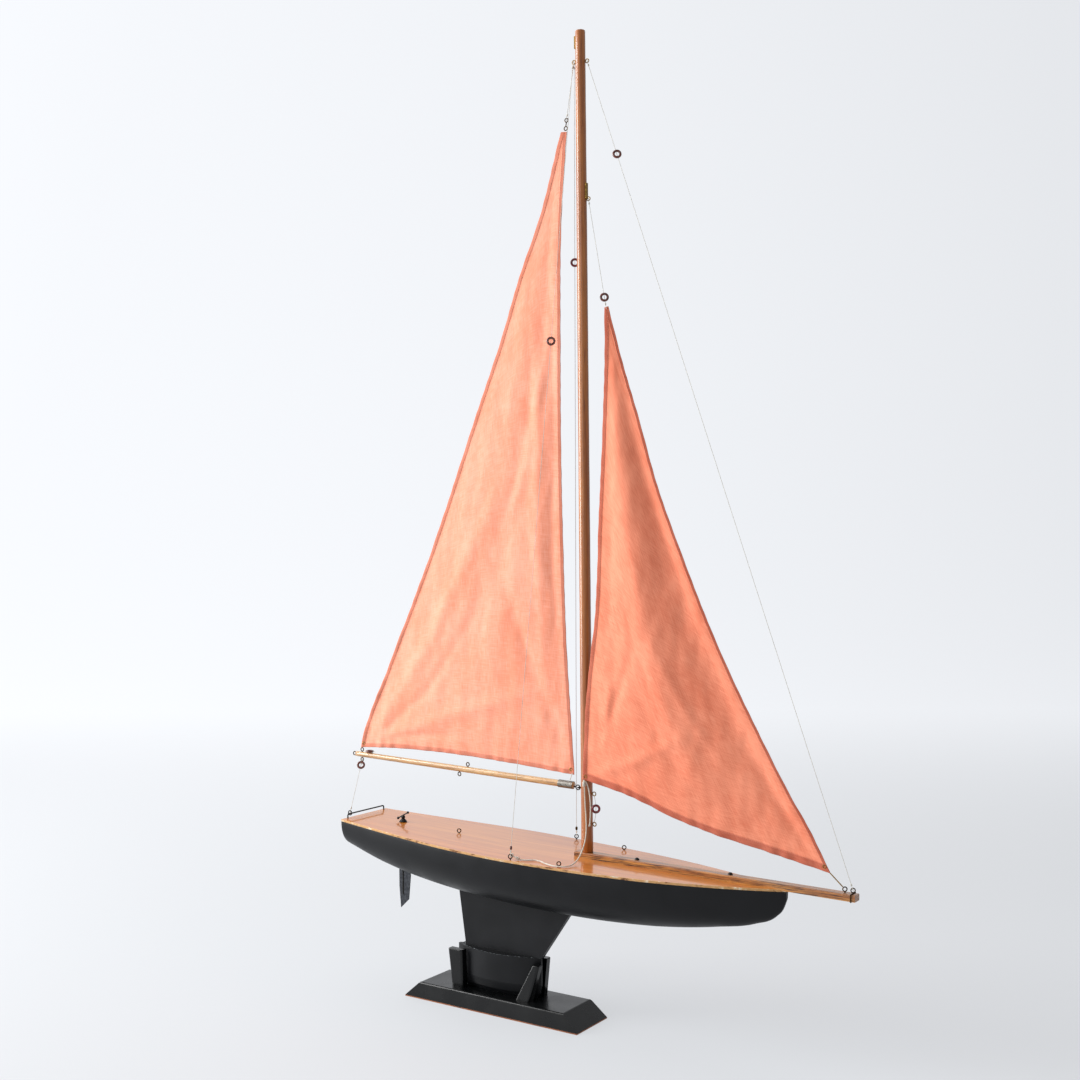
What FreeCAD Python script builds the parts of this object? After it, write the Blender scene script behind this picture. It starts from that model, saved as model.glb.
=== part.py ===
import FreeCAD, Part
import math
import os
from FreeCAD import Placement, Rotation, Vector

# Free-sailing wooden pond yacht on its display stand: Bermuda sloop rig, bowsprit, fin keel.
# Frame: +X to the bow, +Y to port, +Z up, origin at the centre of the stand's underside. Millimetres.

os.makedirs("parts", exist_ok=True)
doc = FreeCAD.newDocument("pond_yacht")
sheet = doc.addObject("Spreadsheet::Sheet", "sizes")

SIZES = [
    # stand
    ("base_length", 294.0), ("base_width", 78.2), ("base_height", 21.5),
    ("base_top_length", 244.8), ("base_top_width", 71.6), ("base_edge_round", 3.0),
    ("sole_thickness", 1.6), ("post_thickness", 11.0), ("post_gap", 0.5),
    ("post_screw_radius", 1.6), ("post_screw_length", 30.0),
    # hull and deck
    ("stern_place", -258.8), ("hull_length", 690.0), ("half_beam", 84.0), ("body_depth", 76.0),
    ("deck_height", 245.4), ("deck_fall", 21.0), ("sheer_sag", 20.1),
    ("deck_thickness", 3.0), ("hull_wall", 7.0), ("beam_width", 9.0), ("beam_depth", 9.0),
    # keel and ballast
    ("fin_thickness", 8.0), ("ballast_length", 143.0), ("ballast_half_width", 19.0),
    ("ballast_centre", -6.0), ("ballast_height", 55.9), ("keel_bolt_radius", 2.0),
    ("keel_nut_flats", 7.0), ("keel_washer_radius", 6.0),
    # rudder and tiller
    ("rudder_place", -182.0), ("stock_radius", 1.5), ("stock_clearance", 0.2),
    ("tube_wall", 1.0), ("blade_thickness", 1.2), ("tiller_flange_radius", 6.2),
    # spars
    ("mast_place", 140.6), ("mast_foot_radius", 8.1), ("mast_top_radius", 6.9),
    ("mast_top_height", 1353.4), ("mast_rake_degrees", 0.282), ("mast_seat_gap", 0.15),
    ("mast_pin_radius", 2.0),
    ("spar_width", 15.0), ("spar_depth", 7.0), ("spar_bedding", 1.2),
    ("spar_heel_place", 124.0), ("spar_tip_place", 521.5), ("spar_edge_round", 1.8),
    ("boom_radius", 4.6), ("boom_tip_radius", 3.9), ("boom_fore_place", 119.6),
    ("boom_fore_height", 323.6), ("boom_aft_place", -273.5), ("boom_aft_height", 335.5),
    # sails
    ("cloth_thickness", 2.0), ("mainsail_camber", 0.045), ("jib_camber", 0.07),
    # wire, rings and lines
    ("eye_radius", 2.6), ("eye_wire_radius", 0.7), ("link_radius", 3.2), ("link_wire_radius", 0.75),
    ("rail_wire_radius", 1.0), ("rail_height", 6.5), ("rail_half_length", 41.0),
    ("rail_place", -254.8), ("bowsie_radius", 4.6), ("bowsie_thickness", 3.3),
    ("bowsie_hole_radius", 0.75), ("line_radius", 0.4), ("sheet_radius", 0.9), ("seat_gap", 0.3),
]
for row, (alias, value) in enumerate(SIZES, start=1):
    sheet.set(f"A{row}", alias)
    sheet.set(f"B{row}", str(value))
    sheet.setAlias(f"B{row}", alias)
doc.recompute()

NODES = []          # the sub-parts that are written, in order


def size(alias):
    return float(sheet.get(alias))


def bind(item, **links):
    """Tie properties of an object to expressions over the sheet's cells."""
    for name, formula in links.items():
        item.setExpression(name, formula)
    return item


def turn_to(direction):
    """Rotation that takes +Z to a direction."""
    return Rotation(Vector(0, 0, 1), Vector(*direction))


def node(item, label):
    item.Label = label
    NODES.append(item)
    return item


def rod(name, start, end, radius_formula, extra=0.0):
    """Cylinder from start to end; its radius is a formula over the sheet."""
    start, end = Vector(*start), Vector(*end)
    item = doc.addObject("Part::Cylinder", name)
    item.Height = (end - start).Length + extra
    bind(item, Radius=radius_formula)
    item.Placement = Placement(start, turn_to(end - start))
    return item


def ring(name, centre, normal, radius_formula, wire_formula):
    item = doc.addObject("Part::Torus", name)
    bind(item, Radius1=radius_formula, Radius2=wire_formula)
    item.Placement = Placement(Vector(*centre), turn_to(normal))
    return item


def fuse(name, items):
    item = doc.addObject("Part::MultiFuse", name)
    item.Shapes = items
    return item


def cut(name, base, tool):
    item = doc.addObject("Part::Cut", name)
    item.Base, item.Tool = base, tool
    return item


def group(name, items):
    item = doc.addObject("Part::Compound", name)
    item.Links = items
    return item


def shaped(name, shape):
    item = doc.addObject("Part::Feature", name)
    item.Shape = shape
    return item


def screw_eye(name, foot, out, facing, shank=6.0, grip=0.0):
    """Wire eye whose ring stands off a surface at foot; its shank goes in against the direction out."""
    foot, out = Vector(*foot), Vector(*out).normalize()
    reach = size("eye_radius") + size("eye_wire_radius") + 0.4 + grip
    loop = ring(name + "_ring", foot + out * reach, facing, "sizes.eye_radius", "sizes.eye_wire_radius")
    stem = rod(name + "_stem", foot - out * shank, foot + out * (reach - size("eye_radius")),
               "sizes.eye_wire_radius + 0.1")
    return fuse(name, [loop, stem])


def flat_solid(points, thickness, y_middle=0.0):
    """Plate cut from an outline in the XZ plane, thick along Y."""
    corners = [Vector(x, y_middle - thickness / 2.0, z) for x, z in points]
    outline = Part.makePolygon(corners + corners[:1])
    return Part.Face(outline).extrude(Vector(0, thickness, 0))


def bent_path(points, bend_share=0.45):
    """Straight runs joined by tangent arcs, each as large as its two runs allow."""
    points = [Vector(*p) for p in points]
    edges, start = [], points[0]
    for i in range(1, len(points) - 1):
        before, here, after = points[i - 1], points[i], points[i + 1]
        back, ahead = (before - here), (after - here)
        reach = bend_share * min(back.Length, ahead.Length)
        back, ahead = back.normalize(), ahead.normalize()
        half_turn = (math.pi - back.getAngle(ahead)) / 2.0
        radius = reach / math.tan(half_turn)
        first, last = here + back * reach, here + ahead * reach
        inward = (back + ahead).normalize()
        centre = here + inward * (radius / math.cos(half_turn))
        middle = centre - inward * radius
        edges.append(Part.LineSegment(start, first).toShape())
        edges.append(Part.Arc(first, middle, last).toShape())
        start = last
    edges.append(Part.LineSegment(start, points[-1]).toShape())
    return Part.Wire(edges)


def tube_along(points, radius, bend_share=0.45):
    path = bent_path(points, bend_share)
    first = path.Edges[0]
    direction = first.tangentAt(first.FirstParameter)
    outline = Part.Wire([Part.makeCircle(radius, Vector(*points[0]), direction)])
    return path.makePipeShell([outline], True, False)


# ---------------------------------------------------------------- stand
base_block = doc.addObject("Part::Wedge", "base_block")
bind(base_block,
     Xmin="-sizes.base_length / 2", Xmax="sizes.base_length / 2",
     Zmin="-sizes.base_width / 2", Zmax="sizes.base_width / 2",
     X2min="-sizes.base_top_length / 2", X2max="sizes.base_top_length / 2",
     Z2min="-sizes.base_top_width / 2", Z2max="sizes.base_top_width / 2",
     Ymax="sizes.base_height")
base_block.Ymin = 0
base_block.Placement = Placement(Vector(0, 0, size("sole_thickness")), Rotation(Vector(1, 0, 0), 90))
doc.recompute()
stand_base = doc.addObject("Part::Fillet", "stand_base_rounded")
stand_base.Base = base_block
top_z = size("sole_thickness") + size("base_height")
stand_base.Edges = [
    (i + 1, size("base_edge_round"), size("base_edge_round"))
    for i, edge in enumerate(base_block.Shape.Edges)
    if edge.BoundBox.ZMin > top_z - 0.1
]
node(stand_base, "stand_base")

sole = doc.addObject("Part::Box", "sole_sheet")
bind(sole, Length="sizes.base_length", Width="sizes.base_width", Height="sizes.sole_thickness")
sole.Placement = Placement(Vector(-size("base_length") / 2, -size("base_width") / 2, 0), Rotation())
node(sole, "stand_sole")


BALLAST_BLUNT = 1.5                                     # half breadth of the ballast's blunt ends


def ballast_half_width(x):
    """Half breadth of the lens-shaped ballast at its shoulder, whose sides are arcs between blunt ends."""
    half = size("ballast_length") / 2
    bulge = size("ballast_half_width") - BALLAST_BLUNT
    radius = (half * half + bulge * bulge) / (2 * bulge)
    reach = x - size("ballast_centre")
    return BALLAST_BLUNT + math.sqrt(radius * radius - reach * reach) - (radius - bulge)


def post(name, foot, top, side, foot_out, top_out):
    """Hand-cut post: a block that leans from its foot on the base to its top beside the ballast.

    foot and top are (fore-and-aft start, end, height); foot_out and top_out are the distances of its
    inner face from the centreline."""
    thick = size("post_thickness")
    wires = []
    for (first, last, height), inner in ((foot, foot_out), (top, top_out)):
        a, b = side * inner, side * (inner + thick)
        corners = [Vector(first, a, height), Vector(last, a, height),
                   Vector(last, b, height), Vector(first, b, height)]
        wires.append(Part.makePolygon(corners + corners[:1]))
    shape = Part.makeLoft(wires, True, True)
    outside = (foot_out + top_out) / 2 + 2
    rounded = [edge for edge in shape.Edges if edge.BoundBox.ZLength > 20
               and abs(edge.CenterOfMass.y) > outside]
    shape = shape.makeFillet(3.5, rounded)
    crown = [edge for edge in shape.Edges if edge.BoundBox.ZMin > top[2] - 0.1]
    return shaped(name, shape.makeFillet(1.2, crown))


post_gap = size("post_gap")
AFT_INNER = ballast_half_width(-55.0) + post_gap        # inner face of the aft posts, from the centreline
FORE_INNER = ballast_half_width(36.5) + post_gap
for side, side_name in ((-1, "starboard"), (1, "port")):
    node(post("post_aft_" + side_name, (-75.0, -55.0, top_z), (-82.0, -57.0, 75.5), side, AFT_INNER,
              AFT_INNER),
         f"stand_post_aft_{side_name}")
    crown = (60.0, 71.5, 72.5) if side < 0 else (57.0, 69.5, 77.0)
    node(post("post_fore_" + side_name, (36.5, 60.0, top_z), crown, side, FORE_INNER, 6.6 if side < 0
              else 7.2),
         f"stand_post_fore_{side_name}")

post_screws = []
for number, (x, inner) in enumerate([(-65.0, AFT_INNER), (49.0, FORE_INNER - 0.8)]):
    for side in (-1, 1):
        y = side * (inner + size("post_thickness") / 2)
        shank = rod(f"post_screw_shank_{number}_{side + 1}", (x, y, 3.0),
                    (x, y, 3.0 + size("post_screw_length")),
                    "sizes.post_screw_radius")
        head = doc.addObject("Part::Cone", f"post_screw_head_{number}_{side + 1}")
        bind(head, Radius1="sizes.post_screw_radius * 2.2", Radius2="sizes.post_screw_radius", Height="3.2")
        head.Placement = Placement(Vector(x, y, size("sole_thickness")), Rotation())
        post_screws.append(fuse(f"post_screw_{number}_{side + 1}", [shank, head]))
node(group("post_screw_set", post_screws), "stand_post_screws")

# ---------------------------------------------------------------- hull
stern_x = size("stern_place")
hull_length = size("hull_length")
FULLNESS = 2.6          # 2 is an ellipse; more is a squarer bilge
# Share of the length from the stern, share of the half beam, share of the body's depth.
STATIONS = [
    (0.00, 0.608, 0.58), (0.08, 0.705, 0.75), (0.18, 0.828, 0.88), (0.30, 0.950, 0.955),
    (0.42, 1.000, 0.99),
    (0.54, 0.955, 1.00), (0.66, 0.855, 0.975), (0.77, 0.692, 0.905), (0.87, 0.455, 0.775),
    (0.94, 0.248, 0.640), (0.98, 0.115, 0.47), (0.993, 0.068, 0.335),
    (1.00, 0.040, 0.18),
]


def deck_z(x):
    """Height of the deck's top on the centreline: a gentle sheer, higher at the stern."""
    share = (x - stern_x) / hull_length
    return size("deck_height") - size("deck_fall") * share - size("sheer_sag") * share * (1 - share)


def section(share, half_breadth, depth, drop=0.0):
    """Closed hull section: a straight deck line and one smooth curve round the bilges."""
    x = stern_x + hull_length * share
    top = deck_z(x)
    points = []
    steps = 14
    for i in range(2 * steps + 1):
        angle = math.pi * i / (2 * steps)
        c, s = math.cos(angle), math.sin(angle)
        y = half_breadth * math.copysign(abs(c) ** (2 / FULLNESS), c)
        z = top - drop - depth * abs(s) ** (2 / FULLNESS)
        points.append(Vector(x, y, z))
    curve = Part.BSplineCurve()
    curve.interpolate(points)
    return Part.Wire([curve.toShape(), Part.LineSegment(points[-1], points[0]).toShape()])


half_beam, body_depth = size("half_beam"), size("body_depth")
canoe_shape = Part.makeLoft([section(s, w * half_beam, d * body_depth) for s, w, d in STATIONS], True,
                            False)
canoe = shaped("canoe_body", canoe_shape)


def between(share, column):
    """Straight-line value between stations."""
    for low, high in zip(STATIONS, STATIONS[1:]):
        if low[0] <= share <= high[0]:
            part = (share - low[0]) / (high[0] - low[0])
            return low[column] + (high[column] - low[column]) * part
    return STATIONS[-1][column]


wall = size("hull_wall")
INNER_SHARES = [0.02, 0.08, 0.18, 0.30, 0.42, 0.54, 0.66, 0.77, 0.87, 0.93]
cavity_shape = Part.makeLoft(
    [section(s, between(s, 1) * half_beam - wall, between(s, 2) * body_depth - wall) for s in INNER_SHARES],
    True, False)


def above_sheer(drop):
    """Everything above a line that lies drop below the deck's top."""
    xs = [stern_x - 20 + (hull_length + 40) * i / 12 for i in range(13)]
    curve = Part.BSplineCurve()
    curve.interpolate([Vector(x, -130, deck_z(x) - drop) for x in xs])
    first, last = curve.getPoles()[0], curve.getPoles()[-1]
    high = 300.0
    outline = Part.Wire([
        curve.toShape(),
        Part.LineSegment(last, Vector(last.x, -130, high)).toShape(),
        Part.LineSegment(Vector(last.x, -130, high), Vector(first.x, -130, high)).toShape(),
        Part.LineSegment(Vector(first.x, -130, high), first).toShape(),
    ])
    return Part.Face(outline).extrude(Vector(0, 260, 0))


deck_tool = shaped("deck_tool", above_sheer(size("deck_thickness")))
cavity = shaped("hull_cavity", cavity_shape)
lower_body = cut("lower_body", canoe, deck_tool)
TUBE_OUTER = "sizes.stock_radius + sizes.stock_clearance + sizes.tube_wall"
rudder_x = size("rudder_place")
tube_hole = rod("tube_hole", (rudder_x, 0, deck_z(rudder_x) - 150), (rudder_x, 0, deck_z(rudder_x) + 20),
                TUBE_OUTER)
node(cut("hull_bored", cut("hull_hollowed", lower_body, cavity), tube_hole), "hull_shell")

deck_common = doc.addObject("Part::Common", "deck_sheet")
deck_common.Base, deck_common.Tool = canoe, deck_tool
node(cut("deck_bored", deck_common, tube_hole), "deck")

beams = []
for number, x in enumerate((-150.0, 60.0, 250.0)):
    blank = doc.addObject("Part::Box", f"beam_blank_{number}")
    under = deck_z(x) - size("deck_thickness")
    bind(blank, Length="sizes.beam_width", Height="sizes.beam_depth + 6")
    blank.Width = 220
    blank.Placement = Placement(Vector(x - size("beam_width") / 2, -110, under - size("beam_depth")),
                                Rotation())
    inside = doc.addObject("Part::Common", f"beam_inside_{number}")
    inside.Base, inside.Tool = blank, cavity
    beams.append(cut(f"beam_{number}", inside, deck_tool))
node(group("beam_set", beams), "deck_beams")

mast_x0 = size("mast_place")
step_blank = doc.addObject("Part::Box", "step_blank")
step_blank.Length, step_blank.Width, step_blank.Height = 44, 34, 22
step_blank.Placement = Placement(Vector(mast_x0 - 22, -17, deck_z(mast_x0) - 18), Rotation())
node(cut("mast_step", step_blank, deck_tool), "mast_step_block")

# ---------------------------------------------------------------- fin keel and ballast
ballast_low = top_z
ballast_top = ballast_low + size("ballast_height")


def lens_wire(z, length_share, width_share):
    """Lens outline with short blunt ends, at one height."""
    middle = size("ballast_centre")
    half = size("ballast_length") / 2 * length_share
    width = size("ballast_half_width") * width_share
    blunt = BALLAST_BLUNT * width_share
    edges = []
    for side in (-1, 1):
        ends = (Vector(middle - side * half, side * blunt, z), Vector(middle + side * half, side * blunt,
            z))
        edges.append(Part.Arc(ends[0], Vector(middle, side * width, z), ends[1]).toShape())
        edges.append(Part.LineSegment(ends[1], Vector(ends[1].x, -ends[1].y, z)).toShape())
    return Part.Wire(edges)


node(shaped("ballast_casting", Part.makeLoft(
    [lens_wire(ballast_low, 0.90, 0.55), lens_wire(ballast_low + 7, 0.97, 0.86),
     lens_wire(ballast_low + 18, 1.0, 1.0), lens_wire(ballast_top, 1.0, 1.0)], True, True)), "ballast")

FIN_OUTLINE = [(-62.9, ballast_top), (66.8, ballast_top), (111.5, 143.5), (135.0, 178.0), (-86.0, 178.0),
               (-74.6, 156.0)]
fin_blank = shaped("fin_blank", flat_solid(FIN_OUTLINE, size("fin_thickness")))
node(cut("fin_fitted", fin_blank, canoe), "keel_fin")


def inner_bottom(x):
    share = (x - stern_x) / hull_length
    return deck_z(x) - between(share, 2) * body_depth + wall


bolts, nuts = [], []
for number, x in enumerate((-38.0, 46.0)):
    inner = inner_bottom(x)
    bolts.append(rod(f"keel_bolt_{number}", (x, 0, ballast_top - 30), (x, 0, inner + 9),
                     "sizes.keel_bolt_radius"))
    hexagon = doc.addObject("Part::Prism", f"keel_nut_blank_{number}")
    hexagon.Polygon = 6
    bind(hexagon, Circumradius="sizes.keel_nut_flats / 1.732", Height="3.2")
    hexagon.Placement = Placement(Vector(x, 0, inner + 2.2), Rotation())
    washer = rod(f"keel_washer_{number}", (x, 0, inner + 0.6), (x, 0, inner + 2.2),
                 "sizes.keel_washer_radius")
    stack = fuse(f"keel_nut_stack_{number}", [hexagon, washer])
    bore = rod(f"keel_nut_bore_{number}", (x, 0, inner - 1), (x, 0, inner + 12), "sizes.keel_bolt_radius")
    nuts.append(cut(f"keel_nut_{number}", stack, bore))
node(group("keel_bolt_pair", bolts), "keel_bolts")
node(group("keel_nut_pair", nuts), "keel_nuts")

# ---------------------------------------------------------------- rudder
hull_under = inner_bottom(rudder_x) - wall
tube_outer = rod("rudder_tube_outer", (rudder_x, 0, hull_under - 1.5), (rudder_x, 0, deck_z(rudder_x)
    + 0.4),
                 TUBE_OUTER)
tube_bore = rod("rudder_tube_bore", (rudder_x, 0, hull_under - 5), (rudder_x, 0, deck_z(rudder_x) + 5),
                "sizes.stock_radius + sizes.stock_clearance")
node(cut("rudder_tube_bored", tube_outer, tube_bore), "rudder_tube")
blade_top = hull_under - 4.0
node(rod("rudder_stock_rod", (rudder_x, 0, 134), (rudder_x, 0, deck_z(rudder_x) + 8), "sizes.stock_radius"),
     "rudder_stock")
BLADE = [(-189.5, blade_top), (-189.2, 146.0), (-186.2, 113.7), (-171.3, 127.6), (-167.8, 163.0),
         (-169.5, blade_top)]
node(shaped("rudder_plate", flat_solid(BLADE, size("blade_thickness"))), "rudder_blade")

tiller_z = deck_z(rudder_x) + 0.4 + size("seat_gap")
flange = doc.addObject("Part::Cone", "tiller_flange")
bind(flange, Radius1="sizes.tiller_flange_radius", Radius2="2.4", Height="4.2")
flange.Placement = Placement(Vector(rudder_x, 0, tiller_z), Rotation())
hub = doc.addObject("Part::Sphere", "tiller_hub")
hub.Radius = 3.0
hub.Placement = Placement(Vector(rudder_x, 0, tiller_z + 6.4), Rotation())
arm_low, arm_high = (rudder_x - 8.0, -2.0, tiller_z + 4.6), (rudder_x + 7.0, 2.4, tiller_z + 13.5)
arm = rod("tiller_arm", arm_low, arm_high, "0.9")
balls = []
for number, (place, radius) in enumerate(((arm_low, 2.0), (arm_high, 1.9))):
    ball = doc.addObject("Part::Sphere", f"tiller_ball_{number}")
    ball.Radius = radius
    ball.Placement = Placement(Vector(*place), Rotation())
    balls.append(ball)
tiller_whole = fuse("tiller_whole", [flange, hub, arm] + balls)
tiller_bore = rod("tiller_bore", (rudder_x, 0, tiller_z - 2), (rudder_x, 0, deck_z(rudder_x) + 8),
                  "sizes.stock_radius")
node(cut("tiller_bored", tiller_whole, tiller_bore), "tiller_head")

# ---------------------------------------------------------------- bowsprit and mast
heel_x, tip_x = size("spar_heel_place"), size("spar_tip_place")
spar_fall = (deck_z(heel_x) - deck_z(stern_x + hull_length)) / (stern_x + hull_length - heel_x)
spar_angle = math.degrees(math.atan(spar_fall))
spar_blank = doc.addObject("Part::Box", "spar_blank")
bind(spar_blank, Length="sizes.spar_tip_place - sizes.spar_heel_place", Width="sizes.spar_width",
     Height="sizes.spar_depth + sizes.spar_bedding")
spar_blank.Placement = Placement(
    Vector(heel_x, -size("spar_width") / 2, deck_z(heel_x) - size("spar_bedding")),
    Rotation(Vector(0, 1, 0), spar_angle))
doc.recompute()
spar_rounded = doc.addObject("Part::Fillet", "spar_rounded")
spar_rounded.Base = spar_blank
spar_rounded.Edges = [
    (i + 1, size("spar_edge_round"), size("spar_edge_round"))
    for i, edge in enumerate(spar_blank.Shape.Edges)
    if edge.Length > 100 and edge.CenterOfMass.z > deck_z(heel_x) + 1 - 5
]
node(cut("spar_fitted", spar_rounded, canoe), "bowsprit")


def spar_top(x):
    return deck_z(heel_x) + size("spar_depth") - spar_fall * (x - heel_x)


mast_foot_z = spar_top(mast_x0) + size("mast_seat_gap")
rake = math.tan(math.radians(size("mast_rake_degrees")))


def mast_x(z):
    return mast_x0 - (z - mast_foot_z) * rake


def mast_radius(z):
    share = (z - mast_foot_z) / (size("mast_top_height") - mast_foot_z)
    return size("mast_foot_radius") + (size("mast_top_radius") - size("mast_foot_radius")) * share


mast_spar = doc.addObject("Part::Cone", "mast_spar")
bind(mast_spar, Radius1="sizes.mast_foot_radius", Radius2="sizes.mast_top_radius")
mast_spar.Height = (size("mast_top_height") - mast_foot_z) / math.cos(math.radians(size("mast_rake_degrees")))
mast_spar.Placement = Placement(Vector(mast_x0, 0, mast_foot_z),
                                Rotation(Vector(0, 1, 0), -size("mast_rake_degrees")))
node(mast_spar, "mast")
node(rod("mast_pin_rod", (mast_x0, 0, mast_foot_z - 22), (mast_x0, 0, mast_foot_z + 18),
         "sizes.mast_pin_radius"),
     "mast_pin")

# ---------------------------------------------------------------- deck fittings
rail_x, rail_z = size("rail_place"), deck_z(size("rail_place")) + size("rail_height")
rail_y = size("rail_half_length")
rail_low = deck_z(rail_x) - 9.0
rail_shape = tube_along(
    [(rail_x, -rail_y, rail_low), (rail_x, -rail_y, rail_z), (rail_x, rail_y, rail_z), (rail_x, rail_y,
        rail_low)],
    size("rail_wire_radius"), 0.17)
node(shaped("stern_rail", rail_shape), "stern_horse")

sheet_y = -36.0
ring_reach = size("link_radius") - size("link_wire_radius") - size("rail_wire_radius") - size("seat_gap")
node(ring("sheet_link", (rail_x, sheet_y, rail_z + ring_reach), (0, 1, 0), "sizes.link_radius",
          "sizes.link_wire_radius"), "sheet_ring")

DECK_EYES = [(-77.6, 0.0), (160.0, 65.5), (138.0, -67.0)]
node(group("deck_eye_set", [
    screw_eye(f"deck_eye_{i}", (x, y, deck_z(x)), (0, 0, 1), (0.557, -0.83, 0))
    for i, (x, y) in enumerate(DECK_EYES)]), "deck_eyes")
CHAINPLATES = {"starboard": (68.0, -78.5), "port": (74.0, 78.0)}
node(group("chainplate_set", [
    screw_eye(f"chainplate_{name}", (x, y, deck_z(x)), (0, 0, 1), (0.557, -0.83, 0), grip=1.0)
    for name, (x, y) in CHAINPLATES.items()]), "chainplate_eyes")

spar_screws = []
for number, x in enumerate((218.0, 354.0)):
    dome = doc.addObject("Part::Sphere", f"spar_screw_head_{number}")
    dome.Radius = 3.4
    dome.Angle1 = 0
    dome.Placement = Placement(Vector(x, 0, spar_top(x) - 0.6), Rotation())
    shank = rod(f"spar_screw_shank_{number}", (x, 0, spar_top(x) - 15), (x, 0, spar_top(x)), "1.4")
    spar_screws.append(fuse(f"spar_screw_{number}", [dome, shank]))
node(group("spar_screw_pair", spar_screws), "bowsprit_screws")

node(screw_eye("tack_eye", (506.2, 0, spar_top(506.2)), (0, 0, 1), (0.557, -0.83, 0), grip=0.6), "tack_eye")
band_x = 515.5
band_hole = doc.addObject("Part::Box", "band_hole")
bind(band_hole, Width="sizes.spar_width + 0.1", Height="sizes.spar_depth + sizes.spar_bedding + 0.1")
band_hole.Length = 6
band_outer = doc.addObject("Part::Box", "band_outer")
bind(band_outer, Width="sizes.spar_width + 1.7", Height="sizes.spar_depth + sizes.spar_bedding + 1.7")
band_outer.Length = 1.4
for box_item, back, out in ((band_hole, 2.3, 0.05), (band_outer, 0.0, 0.85)):
    box_item.Placement = Placement(
        Vector(band_x - back, -size("spar_width") / 2 - out,
               spar_top(band_x) - size("spar_depth") - size("spar_bedding") - out),
        Rotation(Vector(0, 1, 0), spar_angle))
stay_hook_ring = ring("stay_hook_ring", (band_x + 1.0, 0, spar_top(band_x) + 4.2), (0.557, -0.83, 0),
                      "sizes.eye_radius", "sizes.eye_wire_radius")
stay_hook_stem = rod("stay_hook_stem", (band_x + 0.7, 0, spar_top(band_x) + 0.3), (band_x + 0.9, 0,
    spar_top(band_x) + 1.8),
                     "sizes.eye_wire_radius")
node(fuse("stay_hook_whole", [cut("band_wire", band_outer, band_hole), stay_hook_ring, stay_hook_stem]),
     "stay_hook")

# ---------------------------------------------------------------- masthead and mast fittings
plate = doc.addObject("Part::Box", "masthead_plate_blank")
plate.Length, plate.Width, plate.Height = 3.0, 6.0, 17.0
plate.Placement = Placement(Vector(mast_x(1338) - mast_radius(1338) - 1.4, -3, 1329.5),
                            Rotation(Vector(0, 1, 0), -size("mast_rake_degrees")))
node(cut("masthead_plate_fitted", plate, mast_spar), "masthead_plate")


def mast_eye(name, z, side, facing=(0, 1, 0), grip=0.0):
    """Screw eye in the fore (+1) or aft (-1) face of the mast."""
    return screw_eye(name, (mast_x(z) + side * mast_radius(z), 0, z), (side, 0, 0), facing, 4.0, grip)


AFT_HOOK_Z, STAY_EYE_Z, JIB_HOOK_Z = 1312.0, 1310.0, 1123.0
node(group("mast_eye_set", [
    mast_eye("mast_eye_aft", AFT_HOOK_Z, -1), mast_eye("mast_eye_stay", STAY_EYE_Z, 1),
    mast_eye("mast_eye_upper", 315.0, 1), mast_eye("mast_eye_lower", 274.0, 1)]), "mast_eyes")
jib_plate = doc.addObject("Part::Box", "jib_plate_blank")
jib_plate.Length, jib_plate.Width, jib_plate.Height = 3.6, 5.0, 22.0
jib_plate.Placement = Placement(Vector(mast_x(1133) + mast_radius(1133) - 1.8, -2.5, 1122.0),
                                Rotation(Vector(0, 1, 0), -size("mast_rake_degrees")))
jib_plate_fitted = cut("jib_plate_fitted", jib_plate, mast_spar)
jib_hook_x = mast_x(JIB_HOOK_Z) + mast_radius(JIB_HOOK_Z) + 3.7
jib_hook_ring = ring("jib_hook_ring", (jib_hook_x, 0, JIB_HOOK_Z - 1.0), (0, 1, 0), "sizes.eye_radius",
                     "sizes.eye_wire_radius")
node(fuse("jib_halyard_hook_whole", [jib_plate_fitted, jib_hook_ring]), "jib_halyard_hook")

goose_z = size("boom_fore_height") - 2.2
goose_x = mast_x(goose_z) - mast_radius(goose_z) - 2.9      # the boom turns about this upright line
goose_ring = ring("goose_ring", (goose_x, 0, goose_z), (0, 0, 1), "sizes.link_radius",
                  "sizes.link_wire_radius")
goose_stem = rod("goose_stem", (goose_x + size("link_radius"), 0, goose_z), (mast_x(goose_z) - 3.0, 0,
    goose_z),
                 "sizes.link_wire_radius + 0.1")
node(fuse("gooseneck_whole", [goose_ring, goose_stem]), "gooseneck_eye")

# ---------------------------------------------------------------- boom
boom_fore = Vector(size("boom_fore_place"), 0, size("boom_fore_height"))
boom_aft = Vector(size("boom_aft_place"), 0, size("boom_aft_height"))
boom_line = (boom_aft - boom_fore).normalize()
boom_spar = doc.addObject("Part::Cone", "boom_spar")
bind(boom_spar, Radius1="sizes.boom_radius", Radius2="sizes.boom_tip_radius")
boom_spar.Height = (boom_aft - boom_fore).Length
boom_spar.Placement = Placement(boom_fore, turn_to(boom_line))
node(boom_spar, "boom")


def boom_z(x):
    return boom_fore.z + (boom_aft.z - boom_fore.z) * (boom_fore.x - x) / (boom_fore.x - boom_aft.x)


link_centre = (goose_x - size("link_radius"), 0, goose_z)
boom_link = ring("boom_link_ring", link_centre, (0, 1, 0), "sizes.link_radius", "sizes.link_wire_radius")
boom_link_stem = rod("boom_link_stem", (link_centre[0] - size("link_radius"), 0, goose_z + 0.4),
                     (boom_fore.x - 12, 0, boom_z(boom_fore.x - 12)), "sizes.link_wire_radius + 0.1")
node(fuse("boom_link_whole", [boom_link, boom_link_stem]), "boom_link")

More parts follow.
